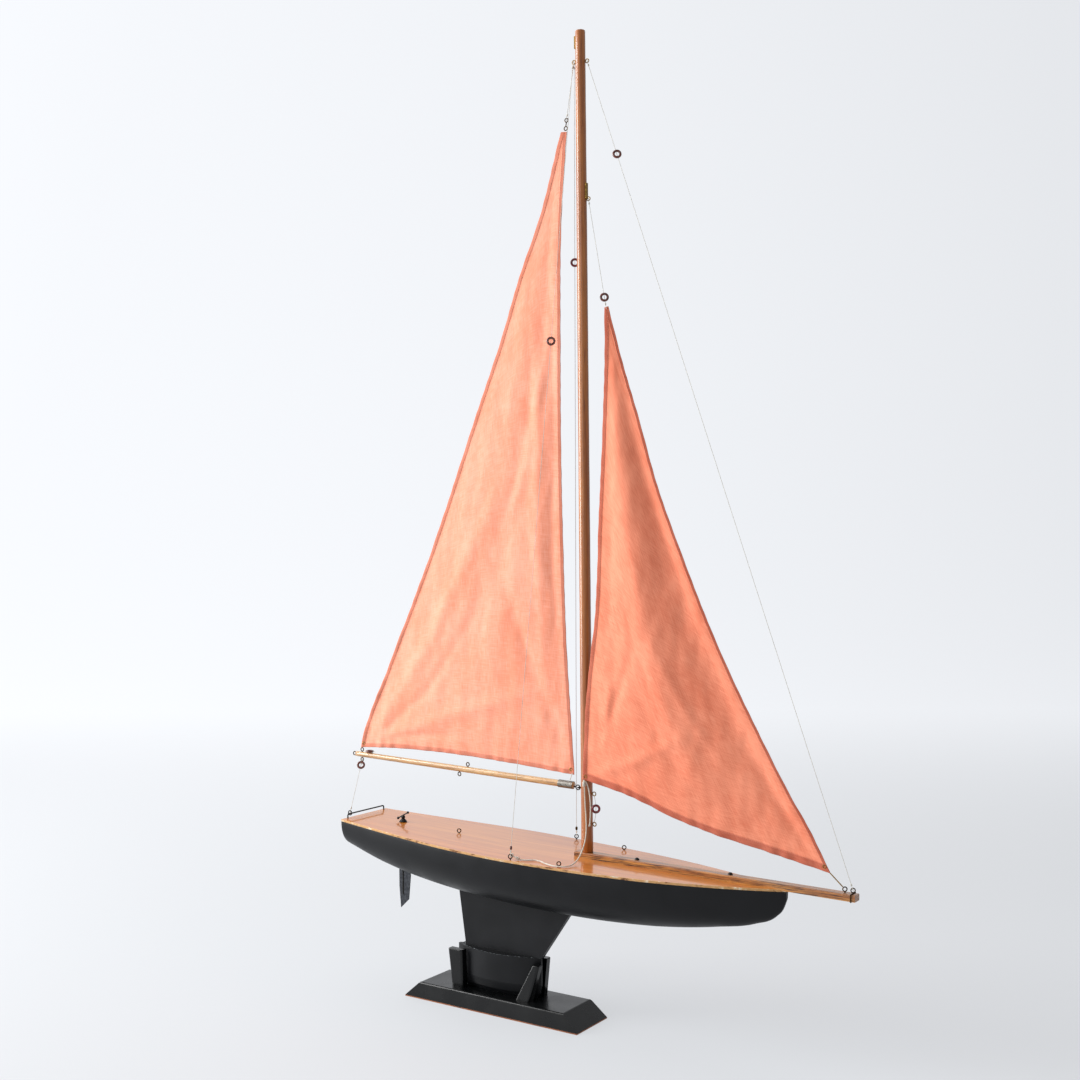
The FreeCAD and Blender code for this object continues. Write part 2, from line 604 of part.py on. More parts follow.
ferrule_outer = rod("ferrule_outer", boom_fore + boom_line * 1.0, boom_fore + boom_line * 24.0,
                    "sizes.boom_radius + 0.7")
ferrule_bore = rod("ferrule_bore", boom_fore - boom_line * 2.0, boom_fore + boom_line * 30.0,
                   "sizes.boom_radius")
node(cut("ferrule_bored", ferrule_outer, ferrule_bore), "boom_ferrule")

boom_eyes = []
for number, (x, up) in enumerate(((-61.4, 1), (-76.6, -1), (-262.0, 1), (-262.0, -1))):
    radius = size("boom_tip_radius") if x < -200 else (size("boom_radius") + size("boom_tip_radius")) / 2
    boom_eyes.append(screw_eye(f"boom_eye_{number}", (x, 0, boom_z(x) + up * (radius - 0.1)), (0, 0, up),
                               (0, 1, 0), 2.6))
boom_eyes.append(screw_eye("boom_eye_end", tuple(boom_aft), tuple(boom_line), (0, 1, 0), 5.0))
node(group("boom_eye_set", boom_eyes), "boom_eyes")

# ---------------------------------------------------------------- sails
cloth = size("cloth_thickness")


def curve_through(points):
    curve = Part.BSplineCurve()
    curve.interpolate([Vector(*p) for p in points])
    return curve


def cambered_sail(luff, leech, camber, side, rows=9, columns=7):
    """Closed sheet between a luff and a leech, listed from foot to head, with a soft belly to one side."""
    luff_curve, leech_curve = curve_through(luff), curve_through(leech)
    grid = []
    for i in range(rows):
        up = i / (rows - 1)
        a = luff_curve.value(luff_curve.FirstParameter
                             + up * (luff_curve.LastParameter - luff_curve.FirstParameter))
        b = leech_curve.value(leech_curve.FirstParameter
                              + up * (leech_curve.LastParameter - leech_curve.FirstParameter))
        chord = (b - a).Length
        grid.append([a + (b - a) * (j / (columns - 1)) + Vector(0,
            side * camber * chord * math.sin(math.pi * j / (columns - 1)), 0)
                     for j in range(columns)])
    surface = Part.BSplineSurface()
    surface.interpolate(grid)
    solid = surface.toShape().extrude(Vector(0, cloth, 0))
    solid.translate(Vector(0, -cloth / 2, 0))
    return solid


MAIN_LUFF = [(116.5, 0, 341.0), (107.0, 0, 509.0), (101.5, 0, 700.0), (99.5, 0, 850.0),
             (101.5, 0, 1050.0), (112.4, 0, 1220.0)]
MAIN_LEECH = [(-262.5, 0, 346.6), (-186.0, 0, 520.0), (-101.0, 0, 700.0), (-38.0, 0, 850.0),
              (45.0, 0, 1050.0), (105.0, 0, 1220.0)]
node(shaped("mainsail_cloth", cambered_sail(MAIN_LUFF, MAIN_LEECH, size("mainsail_camber"), -1)),
     "mainsail")

JIB_LUFF = [(487.0, 0, 251.5), (436.0, -1, 340.5), (351.0, -3, 498.0), (292.0, -4, 631.0),
            (224.5, -3, 821.0), (177.0, 0, 972.5)]
JIB_LEECH = [(144.5, -14, 339.0), (147.5, -14.5, 378.0), (153.0, -15, 462.0), (165.0, -14, 562.0),
             (171.0, -12, 689.0),
             (175.5, -7, 870.0), (171.5, 0, 971.5)]
node(shaped("jib_cloth", cambered_sail(JIB_LUFF, JIB_LEECH, size("jib_camber"), -1)), "jib")

# ---------------------------------------------------------------- rigging lines and their rings
LINE = "sizes.line_radius"
gap = size("seat_gap")
eye_reach = size("eye_radius") + size("eye_wire_radius") + gap


def trimmed(start, end, first, last):
    """The straight run between two eyes, shortened by the eyes' outer reach."""
    start, end = Vector(*start), Vector(*end)
    way = (end - start).normalize()
    return tuple(start + way * first), tuple(end - way * last)


def bowsie(name, centre, way, radius="sizes.bowsie_radius", wire="sizes.bowsie_thickness / 2"):
    """Flat ring that a line runs through, hole by hole, across its rim."""
    centre, way = Vector(*centre), Vector(*way).normalize()
    facing = way.cross(Vector(0.83, 0.557, 0)).normalize()
    whole = ring(name + "_whole", centre, facing, radius, wire)
    hole = rod(name + "_hole", centre - way * 10, centre + way * 10, "sizes.bowsie_hole_radius")
    return cut(name, whole, hole)


def on_run(start, end, z):
    start, end = Vector(*start), Vector(*end)
    share = (z - start.z) / (end.z - start.z)
    return start + (end - start) * share


aft_hook = (mast_x(AFT_HOOK_Z) - mast_radius(AFT_HOOK_Z) - 3.7, 0, AFT_HOOK_Z)
chain_top = {name: (x, y, deck_z(x) + size("eye_radius") + size("eye_wire_radius") + 1.4) for name,
             (x, y) in CHAINPLATES.items()}
for name, side in (("starboard", -1), ("port", 1)):
    top = (aft_hook[0] - 0.4, side * 1.6, AFT_HOOK_Z)
    low, high = trimmed(chain_top[name], top, eye_reach, eye_reach + 0.6)
    node(rod(f"shroud_{name}_line", low, high, LINE), f"shroud_{name}")
    ring_z = 928.6 if side < 0 else 1043.0
    way = Vector(*top) - Vector(*chain_top[name])
    colour_name = f"shroud_bowsie_{name}"
    node(bowsie(colour_name + "_ring", on_run(chain_top[name], top, ring_z), way), colour_name)

stay_top = (mast_x(STAY_EYE_Z) + mast_radius(STAY_EYE_Z) + 3.7, 0, STAY_EYE_Z)
stay_low = (band_x + 1.0, 0, spar_top(band_x) + 4.2)
low, high = trimmed(stay_low, stay_top, eye_reach, eye_reach)
node(rod("topmast_stay_line", low, high, LINE), "topmast_stay")
stay_way = Vector(*stay_top) - Vector(*stay_low)
node(bowsie("stay_bowsie_ring", on_run(stay_low, stay_top, 1175.4), stay_way), "stay_bowsie")

jib_head = (173.8, 0, 973.2)
low, high = trimmed(jib_head, (jib_hook_x, 0, JIB_HOOK_Z - 1.0), 0.0, eye_reach)
node(rod("jib_halyard_line", low, high, LINE), "jib_halyard")
jib_way = Vector(*high) - Vector(*low)
node(bowsie("jib_bowsie_ring", on_run(low, high, 985.5), jib_way), "jib_halyard_bowsie")

# Clip at the head of the mainsail: two rings on one short bar.
clip_low_z, main_head_ring_z = 1223.9, 1235.0
node(fuse("main_head_clip", [
    ring("main_head_link_low", (111.0, 0, clip_low_z), (0, 1, 0), "sizes.eye_radius",
         "sizes.eye_wire_radius"),
    ring("main_head_link_high", (112.2, 0, main_head_ring_z), (0, 1, 0), "sizes.eye_radius",
         "sizes.eye_wire_radius"),
    rod("main_head_bar", (111.0, 0, clip_low_z + 2.6), (112.2, 0, main_head_ring_z - 2.6),
        "sizes.eye_wire_radius")]),
    "mainsail_head_clip")
low, high = trimmed((112.2, 0, main_head_ring_z), aft_hook, eye_reach, eye_reach)
node(rod("main_halyard_line", low, high, LINE), "main_halyard")

tack_low, tack_high = trimmed((506.2, 0, spar_top(506.2) + 4.3), (487.6, 0, 251.5), eye_reach, 0.0)
node(rod("tack_wire_rod", tack_low, tack_high, "sizes.eye_wire_radius"), "tack_wire")

foot_upper = (mast_x(315) + mast_radius(315) + 3.7, 0, 315.0)
foot_lower = (mast_x(274) + mast_radius(274) + 3.7, 0, 274.0)
foot_bow = foot_upper[0] + 2.6          # the line stands off the mast where it runs through its bowsie
foot_shape = tube_along(
    [(foot_upper[0] + 0.1, 0, foot_upper[2] - eye_reach), (foot_bow, 0, 303.5), (foot_bow, 0, 286.5),
     (foot_lower[0] + 0.1, 0, foot_lower[2] + eye_reach)], size("line_radius"))
node(shaped("mast_foot_line_run", foot_shape), "mast_foot_line")
node(bowsie("mast_foot_bowsie_ring", (foot_bow, 0, 295.0), (0, 0, 1)), "mast_foot_bowsie")
node(rod("tack_lashing_run", (117.2, 0, 340.6), (113.0, 0, 330.0), "0.5"), "mainsail_tack_lashing")

# Mainsheet: from the ring on the rail up to the eye under the boom's end, with its own bowsie.
sheet_low = (rail_x, sheet_y, rail_z + ring_reach)
sheet_high = (-262.0, 0, boom_z(-262.0) - size("boom_tip_radius") - 3.6)
low, high = trimmed(sheet_low, sheet_high, size("link_radius") + size("link_wire_radius") + gap, eye_reach)
node(rod("mainsheet_line", low, high, LINE), "mainsheet")
node(bowsie("mainsheet_bowsie_ring", on_run(low, high, 319.5), Vector(*high) - Vector(*low)),
     "mainsheet_bowsie")

# Outhaul: a short line from the upper eye at the boom's end, with its bowsie lying on the boom.
outhaul_z = boom_z(-245.0) + size("boom_tip_radius") + size("bowsie_thickness") / 2 + gap + 0.1
outhaul_ends = ((-258.6, 0, outhaul_z + 0.6), (-236.5, 0, outhaul_z - 0.05))
node(rod("outhaul_run", *outhaul_ends, LINE), "outhaul_line")
outhaul_whole = ring("outhaul_bowsie_whole", (-247.0, 0, outhaul_z + 0.26), (0.03, 0, 1),
                     "sizes.bowsie_radius",
                     "sizes.bowsie_thickness / 2")
outhaul_hole = rod("outhaul_bowsie_hole", *outhaul_ends, "sizes.bowsie_hole_radius")
node(cut("outhaul_bowsie_ring", outhaul_whole, outhaul_hole), "outhaul_bowsie")

# Jib sheet: from the starboard chainplate over the deck, up to the mast and on to the jib's clew.
JIB_SHEET = [
    (71.4, -76.3, 235.6), (79.5, -73.5, 231.6), (88.5, -69.5, 231.1), (97.0, -61.5, 230.9), (107.0, -63.5,
        230.6),
    (119.0, -70.0, 230.3), (131.0, -74.0, 230.0), (143.0, -73.5, 229.8), (151.0, -65.0, 229.6),
    (152.0, -52.0, 230.4),
    (150.5, -38.0, 234.6), (149.0, -26.0, 243.5), (148.2, -17.5, 254.5), (147.5, -13.2, 269.0),
    (145.5, -11.2, 285.0),
    (144.3, -11.0, 301.0), (144.2, -12.2, 316.0), (144.5, -13.6, 328.0), (144.5, -14.0, 338.4),
]
JIB_SHEET_TAIL = [
    (146.9, -13.0, 333.0), (149.9, -12.2, 326.5), (152.0, -11.4, 314.5), (152.7, -10.8, 300.0),
    (152.2, -10.4, 286.0),
    (151.0, -10.6, 272.5),
]
node(shaped("jib_sheet_cord", tube_along(JIB_SHEET, size("sheet_radius"))), "jib_sheet")
node(shaped("jib_sheet_tail_cord", tube_along(JIB_SHEET_TAIL, size("sheet_radius"))), "jib_sheet_tail")

# ---------------------------------------------------------------- check and write
doc.recompute()
faults = [item.Name for item in doc.Objects if "Invalid" in item.State or "Error" in item.State]
for item in NODES:
    shape = item.Shape
    if shape.isNull() or not shape.isValid() or not shape.Solids:
        faults.append(item.Label)
if faults:
    raise RuntimeError("not sound: " + ", ".join(faults))
for item in NODES:
    item.Shape.exportStep(os.path.join("parts", item.Label + ".step"))
print(len(NODES), "sub-parts written")
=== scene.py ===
import math

import bmesh
import bpy
import numpy as np
from mathutils import Matrix, Vector


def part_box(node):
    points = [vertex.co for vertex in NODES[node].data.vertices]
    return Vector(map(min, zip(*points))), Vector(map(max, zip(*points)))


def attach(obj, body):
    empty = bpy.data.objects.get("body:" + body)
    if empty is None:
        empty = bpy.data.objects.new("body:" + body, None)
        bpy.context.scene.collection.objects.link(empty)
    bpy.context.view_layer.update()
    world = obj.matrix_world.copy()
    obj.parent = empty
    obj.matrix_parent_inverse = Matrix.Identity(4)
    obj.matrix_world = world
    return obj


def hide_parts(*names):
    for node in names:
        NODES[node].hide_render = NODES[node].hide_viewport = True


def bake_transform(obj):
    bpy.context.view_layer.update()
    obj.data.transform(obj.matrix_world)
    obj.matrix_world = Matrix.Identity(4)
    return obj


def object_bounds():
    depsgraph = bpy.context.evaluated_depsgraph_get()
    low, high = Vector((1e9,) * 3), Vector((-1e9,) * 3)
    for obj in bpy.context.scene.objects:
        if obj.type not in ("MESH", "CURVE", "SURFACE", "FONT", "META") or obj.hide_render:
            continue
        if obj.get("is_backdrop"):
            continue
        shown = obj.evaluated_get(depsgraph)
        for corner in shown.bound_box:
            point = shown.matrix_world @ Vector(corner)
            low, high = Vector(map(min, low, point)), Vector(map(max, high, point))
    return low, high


# Wooden pond yacht on its display stand. +X to the bow, +Y to port, +Z up. Sizes below are in
# millimetres and become metres in the meshes.

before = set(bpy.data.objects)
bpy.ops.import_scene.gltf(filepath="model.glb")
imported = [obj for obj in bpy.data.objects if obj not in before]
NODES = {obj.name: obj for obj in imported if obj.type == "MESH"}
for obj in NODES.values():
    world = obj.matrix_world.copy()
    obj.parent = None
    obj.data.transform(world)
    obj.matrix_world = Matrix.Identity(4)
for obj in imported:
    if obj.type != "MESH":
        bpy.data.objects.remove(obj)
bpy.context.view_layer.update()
MM = 0.001


# ---------------------------------------------------------------- camera
AZIMUTH, ELEVATION, ROLL = math.radians(33.84), math.radians(-0.36), math.radians(-0.25)
CAMERA_PLACE, FOCAL_LENGTH = (1.1150, -1.5654, 0.6472), 45.21
ahead = Vector((-math.sin(AZIMUTH) * math.cos(ELEVATION), math.cos(AZIMUTH) * math.cos(ELEVATION),
                -math.sin(ELEVATION)))
level = Vector((math.cos(AZIMUTH), math.sin(AZIMUTH), 0))
upward = level.cross(ahead)
right = level * math.cos(ROLL) + upward * math.sin(ROLL)
top = upward * math.cos(ROLL) - level * math.sin(ROLL)
lens = bpy.data.cameras.new("camera")
lens.sensor_width, lens.lens, lens.clip_start, lens.clip_end = 36.0, FOCAL_LENGTH, 0.05, 50.0
camera = bpy.data.objects.new("camera", lens)
turn = Matrix((right, top, -ahead)).transposed().to_4x4()
camera.matrix_world = Matrix.Translation(Vector(CAMERA_PLACE)) @ turn
bpy.context.scene.collection.objects.link(camera)
bpy.context.scene.camera = camera
bpy.context.scene.view_settings.view_transform = "Standard"


# ---------------------------------------------------------------- mesh helpers
def piece(name, points, faces, smooth=True):
    """Mesh object from points in millimetres."""
    mesh = bpy.data.meshes.new(name)
    places = [tuple(float(c) * MM for c in p) for p in points]
    mesh.from_pydata(places, [], [tuple(int(i) for i in f) for f in faces])
    mesh.update()
    if smooth:
        mesh.polygons.foreach_set("use_smooth", [True] * len(mesh.polygons))
    made = bpy.data.objects.new(name, mesh)
    bpy.context.scene.collection.objects.link(made)
    return made


def through(points, at):
    """Smooth curve through (place, value) points, read at one place or an array of places."""
    xs, ys = np.array(points, float).T
    slopes = np.gradient(ys, xs)
    at = np.clip(np.asarray(at, float), xs[0], xs[-1])
    k = np.clip(np.searchsorted(xs, at, side="right") - 1, 0, len(xs) - 2)
    span = xs[k + 1] - xs[k]
    t = (at - xs[k]) / span
    return ((2 * t**3 - 3 * t**2 + 1) * ys[k] + (t**3 - 2 * t**2 + t) * span * slopes[k]
            + (3 * t**2 - 2 * t**3) * ys[k + 1] + (t**3 - t**2) * span * slopes[k + 1])


def grid_faces(rows, columns, closed=False, start=0):
    """Quads of a grid of points listed row by row; a closed one joins its last column to its first."""
    across = columns if closed else columns - 1
    return [(start + i * columns + j, start + i * columns + (j + 1) % columns,
             start + (i + 1) * columns + (j + 1) % columns, start + (i + 1) * columns + j)
            for i in range(rows - 1) for j in range(across)]


def tube_points(path, radius, sides):
    """Rings of points round a path, carried along it without twist."""
    path = np.asarray(path, float)
    steps = np.gradient(path, axis=0)
    steps /= np.linalg.norm(steps, axis=1)[:, None]
    side = np.cross(steps[0], (0.3, 0.9, 0.1))
    side /= np.linalg.norm(side)
    rings = []
    for i, (place, step) in enumerate(zip(path, steps)):
        side = side - step * side.dot(step)
        side /= np.linalg.norm(side)
        other = np.cross(step, side)
        r = radius[i] if np.ndim(radius) else radius
        for k in range(sides):
            a = 2 * math.pi * k / sides
            rings.append(place + (side * math.cos(a) + other * math.sin(a)) * r)
    return rings


def capped(rows, sides, start=0):
    """Faces of a tube with both ends closed."""
    last = start + (rows - 1) * sides
    return (grid_faces(rows, sides, True, start) + [tuple(start + k for k in range(sides))[::-1]]
            + [tuple(last + k for k in range(sides))])


def turned(name, start, end, profile, sides=64):
    """Round spar or fitting: profile is a list of (millimetres from the start, radius)."""
    start, end = np.array(start, float), np.array(end, float)
    way = (end - start) / np.linalg.norm(end - start)
    path = [start + way * along for along, _ in profile]
    side = np.cross(way, (0.0, 1.0, 0.0))
    side /= np.linalg.norm(side)
    other = np.cross(way, side)
    points = [p + (side * math.cos(a) + other * math.sin(a)) * r for p, (_, r) in zip(path, profile)
              for a in (2 * math.pi * k / sides for k in range(sides))]
    made = piece(name, points, capped(len(profile), sides))
    outward(made)
    return made


def outward(made):
    """Turn every face of a closed mesh outwards."""
    work = bmesh.new()
    work.from_mesh(made.data)
    bmesh.ops.recalc_face_normals(work, faces=work.faces)
    work.to_mesh(made.data)
    work.free()


def joined(name, parts):
    """One mesh out of several (points, faces) lists."""
    points, faces = [], []
    for some, theirs in parts:
        faces += [tuple(i + len(points) for i in f) for f in theirs]
        points += list(some)
    return piece(name, points, faces)


# ---------------------------------------------------------------- material helpers
def colour(code):
    """Linear colour of an sRGB hex value."""
    parts = [int(code[i:i + 2], 16) / 255 for i in (1, 3, 5)]
    return tuple(c / 12.92 if c <= 0.04045 else ((c + 0.055) / 1.055) ** 2.4 for c in parts) + (1.0,)


def add(tree, kind, values=None, links=None, **settings):
    """Add a node with its settings, its input values and its links."""
    made = tree.nodes.new(kind)
    for key, value in settings.items():
        setattr(made, key, value)
    for key, value in (values or {}).items():
        made.inputs[key].default_value = value
    for key, socket in (links or {}).items():
        tree.links.new(socket, made.inputs[key])
    return made


def grade(ramp, *stops):
    """Colour stops of a ramp, as (place, hex) pairs."""
    band = ramp.color_ramp
    while len(band.elements) < len(stops):
        band.elements.new(1.0)
    for element, (place, code) in zip(band.elements, stops):
        element.position, element.color = place, colour(code)
    return ramp.outputs["Color"]


def feed(tree, socket, source):
    """Give an input another socket to read, or a constant."""
    if isinstance(source, bpy.types.NodeSocket):
        tree.links.new(source, socket)
    else:
        socket.default_value = source


def mixed(tree, first, second, share, blend="MIX"):
    """Blend of two colours; each of them and the share is a socket or a constant."""
    made = add(tree, "ShaderNodeMix", data_type="RGBA", blend_type=blend)
    for socket, source in ((0, share), (6, first), (7, second)):
        feed(tree, made.inputs[socket], source)
    return made.outputs[2]


def reckoned(tree, operation, *terms):
    """Result of one sum on values; each term is a socket or a constant."""
    made = add(tree, "ShaderNodeMath", operation=operation)
    for socket, term in zip(made.inputs, terms):
        feed(tree, socket, term)
    return made.outputs["Value"]


def noise(tree, vector, scale, detail, **shape):
    """Noise over a vector, as a value."""
    values = {"Scale": scale, "Detail": detail, **shape}
    return add(tree, "ShaderNodeTexNoise", values, {"Vector": vector}).outputs["Fac"]


def ramp(tree, value, *stops):
    """Colour read from (place, hex) stops."""
    return grade(add(tree, "ShaderNodeValToRGB", links={"Fac": value}), *stops)


def remap(tree, value, low, high, to_low=0.0, to_high=1.0, **settings):
    """Value carried from one range to another and held at its ends."""
    values = {"From Min": low, "From Max": high, "To Min": to_low, "To Max": to_high}
    return add(tree, "ShaderNodeMapRange", values, {"Value": value}, **settings).outputs["Result"]


def scaled(tree, vector, scale):
    """Vector multiplied by a scale for each axis."""
    return add(tree, "ShaderNodeMapping", {"Scale": scale}, {"Vector": vector}).outputs["Vector"]


def along_axis(axis, share):
    """Scale that draws a pattern out along one axis."""
    return [share if letter == axis else 1.0 for letter in "XYZ"]


def bump(tree, height, strength, distance, under=None):
    """Normal bent by a height in metres; under is the normal it starts from."""
    links = {"Height": height} if under is None else {"Height": height, "Normal": under}
    return add(tree, "ShaderNodeBump", {"Strength": strength, "Distance": distance}, links).outputs["Normal"]


def finish(name, **values):
    """Material with one Principled shader whose constant inputs are given by name."""
    made = bpy.data.materials.new(name)
    made.use_nodes = True
    tree = made.node_tree
    tree.nodes.clear()
    values = {key.replace("_", " "): value for key, value in values.items()}
    shader = add(tree, "ShaderNodeBsdfPrincipled", values)
    add(tree, "ShaderNodeOutputMaterial", links={"Surface": shader.outputs["BSDF"]})
    place = add(tree, "ShaderNodeTexCoord").outputs["Object"]
    return made, tree, shader, place


def varnished_wood(name, grain, along, dark, middle, light, growth=7.0, streaks=0.62, gloss=0.12, coat=0.9):
    """Varnished softwood or mahogany. The growth bands' width is in millimetres; along names the grain's
    axis. The grain darkens in streaks, the clear varnish over it is smooth and bright."""
    made, tree, shader, place = finish(name, Roughness=0.42, Coat_Weight=coat, Coat_Roughness=gloss,
                                       Coat_IOR=1.5)
    lined = scaled(tree, place, along_axis(along, 0.045))
    bands = noise(tree, lined, 1000 / growth, 3.0, Distortion=0.6)
    fibres = noise(tree, lined, 1000.0, 2.0)
    lines = noise(tree, lined, 1000 / growth * 2.6, 5.0, Roughness=0.7)
    streak = remap(tree, lines, streaks - 0.04, streaks + 0.10)
    body = ramp(tree, bands, (0.30, dark), (0.48, middle), (0.68, light))
    thin = ramp(tree, fibres, (0.35, dark), (0.65, light))
    fine = mixed(tree, body, thin, 0.16)
    feed(tree, shader.inputs["Base Color"], mixed(tree, fine, colour(grain), streak))
    feed(tree, shader.inputs["Normal"], bump(tree, fibres, 0.35, 0.00012))
    ripple = noise(tree, place, 55.0, 1.0)
    feed(tree, shader.inputs["Coat Normal"], bump(tree, ripple, 0.25, 0.0004))
    return made


def painted(name, code, worn, rough, spread=0.1, shine=0.22):
    """Enamel brushed on wood: satin, with faint brush marks along the yacht, dust nibs and cloudy gloss."""
    made, tree, shader, place = finish(name, Specular_IOR_Level=shine)
    marks = noise(tree, scaled(tree, place, along_axis("X", 0.05)), 700.0, 2.0)
    cloud = noise(tree, place, 22.0, 4.0)
    nibs = add(tree, "ShaderNodeTexVoronoi", {"Scale": 420.0}, {"Vector": place}).outputs["Distance"]
    speck = remap(tree, nibs, 0.10, 0.02)
    feed(tree, shader.inputs["Base Color"], ramp(tree, cloud, (0.35, code), (0.75, worn)))
    feed(tree, shader.inputs["Roughness"], remap(tree, cloud, 0.3, 0.7, rough - spread, rough + spread))
    brushed = bump(tree, marks, 0.25, 0.00015)
    feed(tree, shader.inputs["Normal"], bump(tree, speck, 0.3, 0.0001, brushed))
    return made


def metal(name, bright, dull, rough, size=1.2):
    """Bare or darkened metal wire and sheet, mottled by handling; size is the mottle in millimetres."""
    made, tree, shader, place = finish(name, Metallic=1.0)
    mottle = noise(tree, place, 1000 / size, 3.0)
    feed(tree, shader.inputs["Base Color"], ramp(tree, mottle, (0.32, dull), (0.68, bright)))
    feed(tree, shader.inputs["Roughness"], remap(tree, mottle, 0.0, 1.0, rough + 0.15, rough - 0.08))
    feed(tree, shader.inputs["Normal"], bump(tree, mottle, 0.3, 0.00005))
    return made


def raw_wood(name, light, dark, patch, size=3.0):
    """Cut wood edge with old glue and dark patches; size is the patches' in millimetres. On the ballast seam's
    bead the patches are pale instead, and they are a painted highlight.
    """
    made, tree, shader, place = finish(name, Roughness=0.75)
    blots = noise(tree, scaled(tree, place, along_axis("X", 0.35)), 1000 / size / 2, 5.0, Roughness=0.65)
    tone = ramp(tree, blots, (0.36, dark), (0.45, light), (0.56, light), (0.66, patch))
    feed(tree, shader.inputs["Base Color"], tone)
    feed(tree, shader.inputs["Normal"], bump(tree, blots, 0.5, 0.0003))
    return made


def cotton(name, light, deep, hem_tint):
    """Dyed plain-weave sailcloth: matt threads with a soft bloom, slubs both ways, uneven dye, darker where
    it is doubled. The weave is drawn on the cloth's own map, which is in millimetres."""
    made, tree, shader, place = finish(name, Roughness=0.92, Sheen_Weight=0.2, Sheen_Roughness=0.5)
    flat = add(tree, "ShaderNodeUVMap", uv_map="cloth").outputs["UV"]

    def threads(width, long):
        """Mean of the yarns that run each way, of one width and length in millimetres."""
        ways = [noise(tree, scaled(tree, flat, scale), 1.0, 2.0)
                for scale in ((1 / width, 1 / long, 1), (1 / long, 1 / width, 1))]
        return reckoned(tree, "MULTIPLY", reckoned(tree, "ADD", *ways), 0.5)

    dye = noise(tree, place, 14.0, 6.0, Roughness=0.6)
    slubs, yarn = threads(1.3, 18.0), threads(0.42, 20.0)
    share = reckoned(tree, "MULTIPLY_ADD", slubs, 0.65, reckoned(tree, "MULTIPLY", dye, 0.35))
    tone = ramp(tree, share, (0.42, deep), (0.58, light))
    doubled = add(tree, "ShaderNodeAttribute", attribute_name="hem").outputs["Fac"]
    feed(tree, shader.inputs["Base Color"], mixed(tree, tone, colour(hem_tint), doubled, "MULTIPLY"))
    coarse = bump(tree, slubs, 0.5, 0.00025)
    feed(tree, shader.inputs["Normal"], bump(tree, yarn, 0.45, 0.00012, coarse))
    return made


def spun(name, light, shade):
    """Twisted cotton line: matt, slightly soiled between its strands."""
    made, tree, shader, place = finish(name, Roughness=0.85, Sheen_Weight=0.2)
    fibre = noise(tree, place, 1000 / 0.6, 3.0)
    feed(tree, shader.inputs["Base Color"], ramp(tree, fibre, (0.3, shade), (0.6, light)))
    feed(tree, shader.inputs["Normal"], bump(tree, fibre, 0.4, 0.0001))
    return made


def glazed(name, code, deep):
    """Small turned hardwood or galalith ring, polished and stained right through."""
    made, tree, shader, place = finish(name, Roughness=0.3, Coat_Weight=0.5, Coat_Roughness=0.1)
    cloud = noise(tree, place, 450.0, 3.0)
    feed(tree, shader.inputs["Base Color"], ramp(tree, cloud, (0.35, deep), (0.65, code)))
    return made


HULL_ENAMEL = painted("black_enamel_on_hull", "#101113", "#17181B", 0.42)
STAND_ENAMEL = painted("black_enamel_on_stand", "#050607", "#0A0B0C", 0.27, spread=0.07, shine=0.34)
SOLE_EDGE = raw_wood("raw_plywood_sole", "#8A5334", "#5A3320", "#A56B45")
DECK_VARNISH = varnished_wood("varnished_mahogany_deck", "#A85A0C", "X", "#B6640C", "#C27010", "#D07E18",
                              growth=9.0, streaks=0.68, gloss=0.10, coat=0.85)
DECK_EDGE = raw_wood("raw_deck_edge", "#C99A63", "#6B3E1C", "#E6D9BE", 3.5)
SPAR_VARNISH = varnished_wood("varnished_pine_bowsprit", "#3A1A08", "X", "#8E4E1C", "#AA6A2C", "#C6883E",
                              growth=4.0, streaks=0.50, gloss=0.22, coat=0.55)
MAST_VARNISH = varnished_wood("varnished_pine_mast", "#6A3210", "Z", "#8A4814", "#A05A1E", "#B46C2A",
                              growth=5.0, streaks=0.60, gloss=0.2, coat=0.6)
BOOM_VARNISH = varnished_wood("varnished_pine_boom", "#5A3418", "X", "#A87846", "#C49660", "#D8B07A",
                              growth=2.6, streaks=0.56, gloss=0.2)
INNER_WOOD = raw_wood("pine_inside", "#C9A373", "#A57C4C", "#D8B88C")
BRASS = metal("aged_brass", "#B08D4A", "#5E4420", 0.35)
DARK_WIRE = metal("blackened_steel_wire", "#3C3B3A", "#1B1A1A", 0.38)
DARK_BRASS = metal("tarnished_brass", "#5A4428", "#241A10", 0.42)
STEEL = metal("plated_steel", "#9C9892", "#57534C", 0.36)
RUDDER_SHEET = metal("dull_tinplate", "#4C4E52", "#34363A", 0.55, 4.0)
SAIL_CLOTH = cotton("dyed_cotton_mainsail", "#FFAC90", "#F49574", "#E0D4D2")
JIB_CLOTH = cotton("dyed_cotton_jib", "#FC9A78", "#E87E5C", "#CDB7B2")
SAIL_THREAD = spun("sail_thread", "#E8A08A", "#C07058")
WHITE_LINE = spun("white_cotton_line", "#E2DED3", "#B4AE9F")
# Painted highlight: the pale patches on the ballast seam's bead stand in for the light caught along its rounded
# edge; the dark tones are the enamel.
BALLAST_SEAM_HIGHLIGHT = raw_wood("painted_highlight_on_ballast_seam", "#3A3E42", "#111214", "#B9C0C3", 3.0)
BOWSIE_BROWN = glazed("brown_bowsie", "#7A3520", "#3E1810")
BOWSIE_RED = glazed("red_bowsie", "#8E1420", "#4C0A12")


def dress(made, material, body):
    """Give a piece its material and body."""
    made.data.materials.clear()
    made.data.materials.append(material)
    if body:
        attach(made, body)
    return made


# ---------------------------------------------------------------- cords
COIL_STEPS = 14      # points in one turn of a coil
LAY_STEPS = 7.0      # points in one turn of a strand
HITCH_ACROSS = (0.557, -0.83, 0.05)      # the way in which the hitches at the eyes lie flat


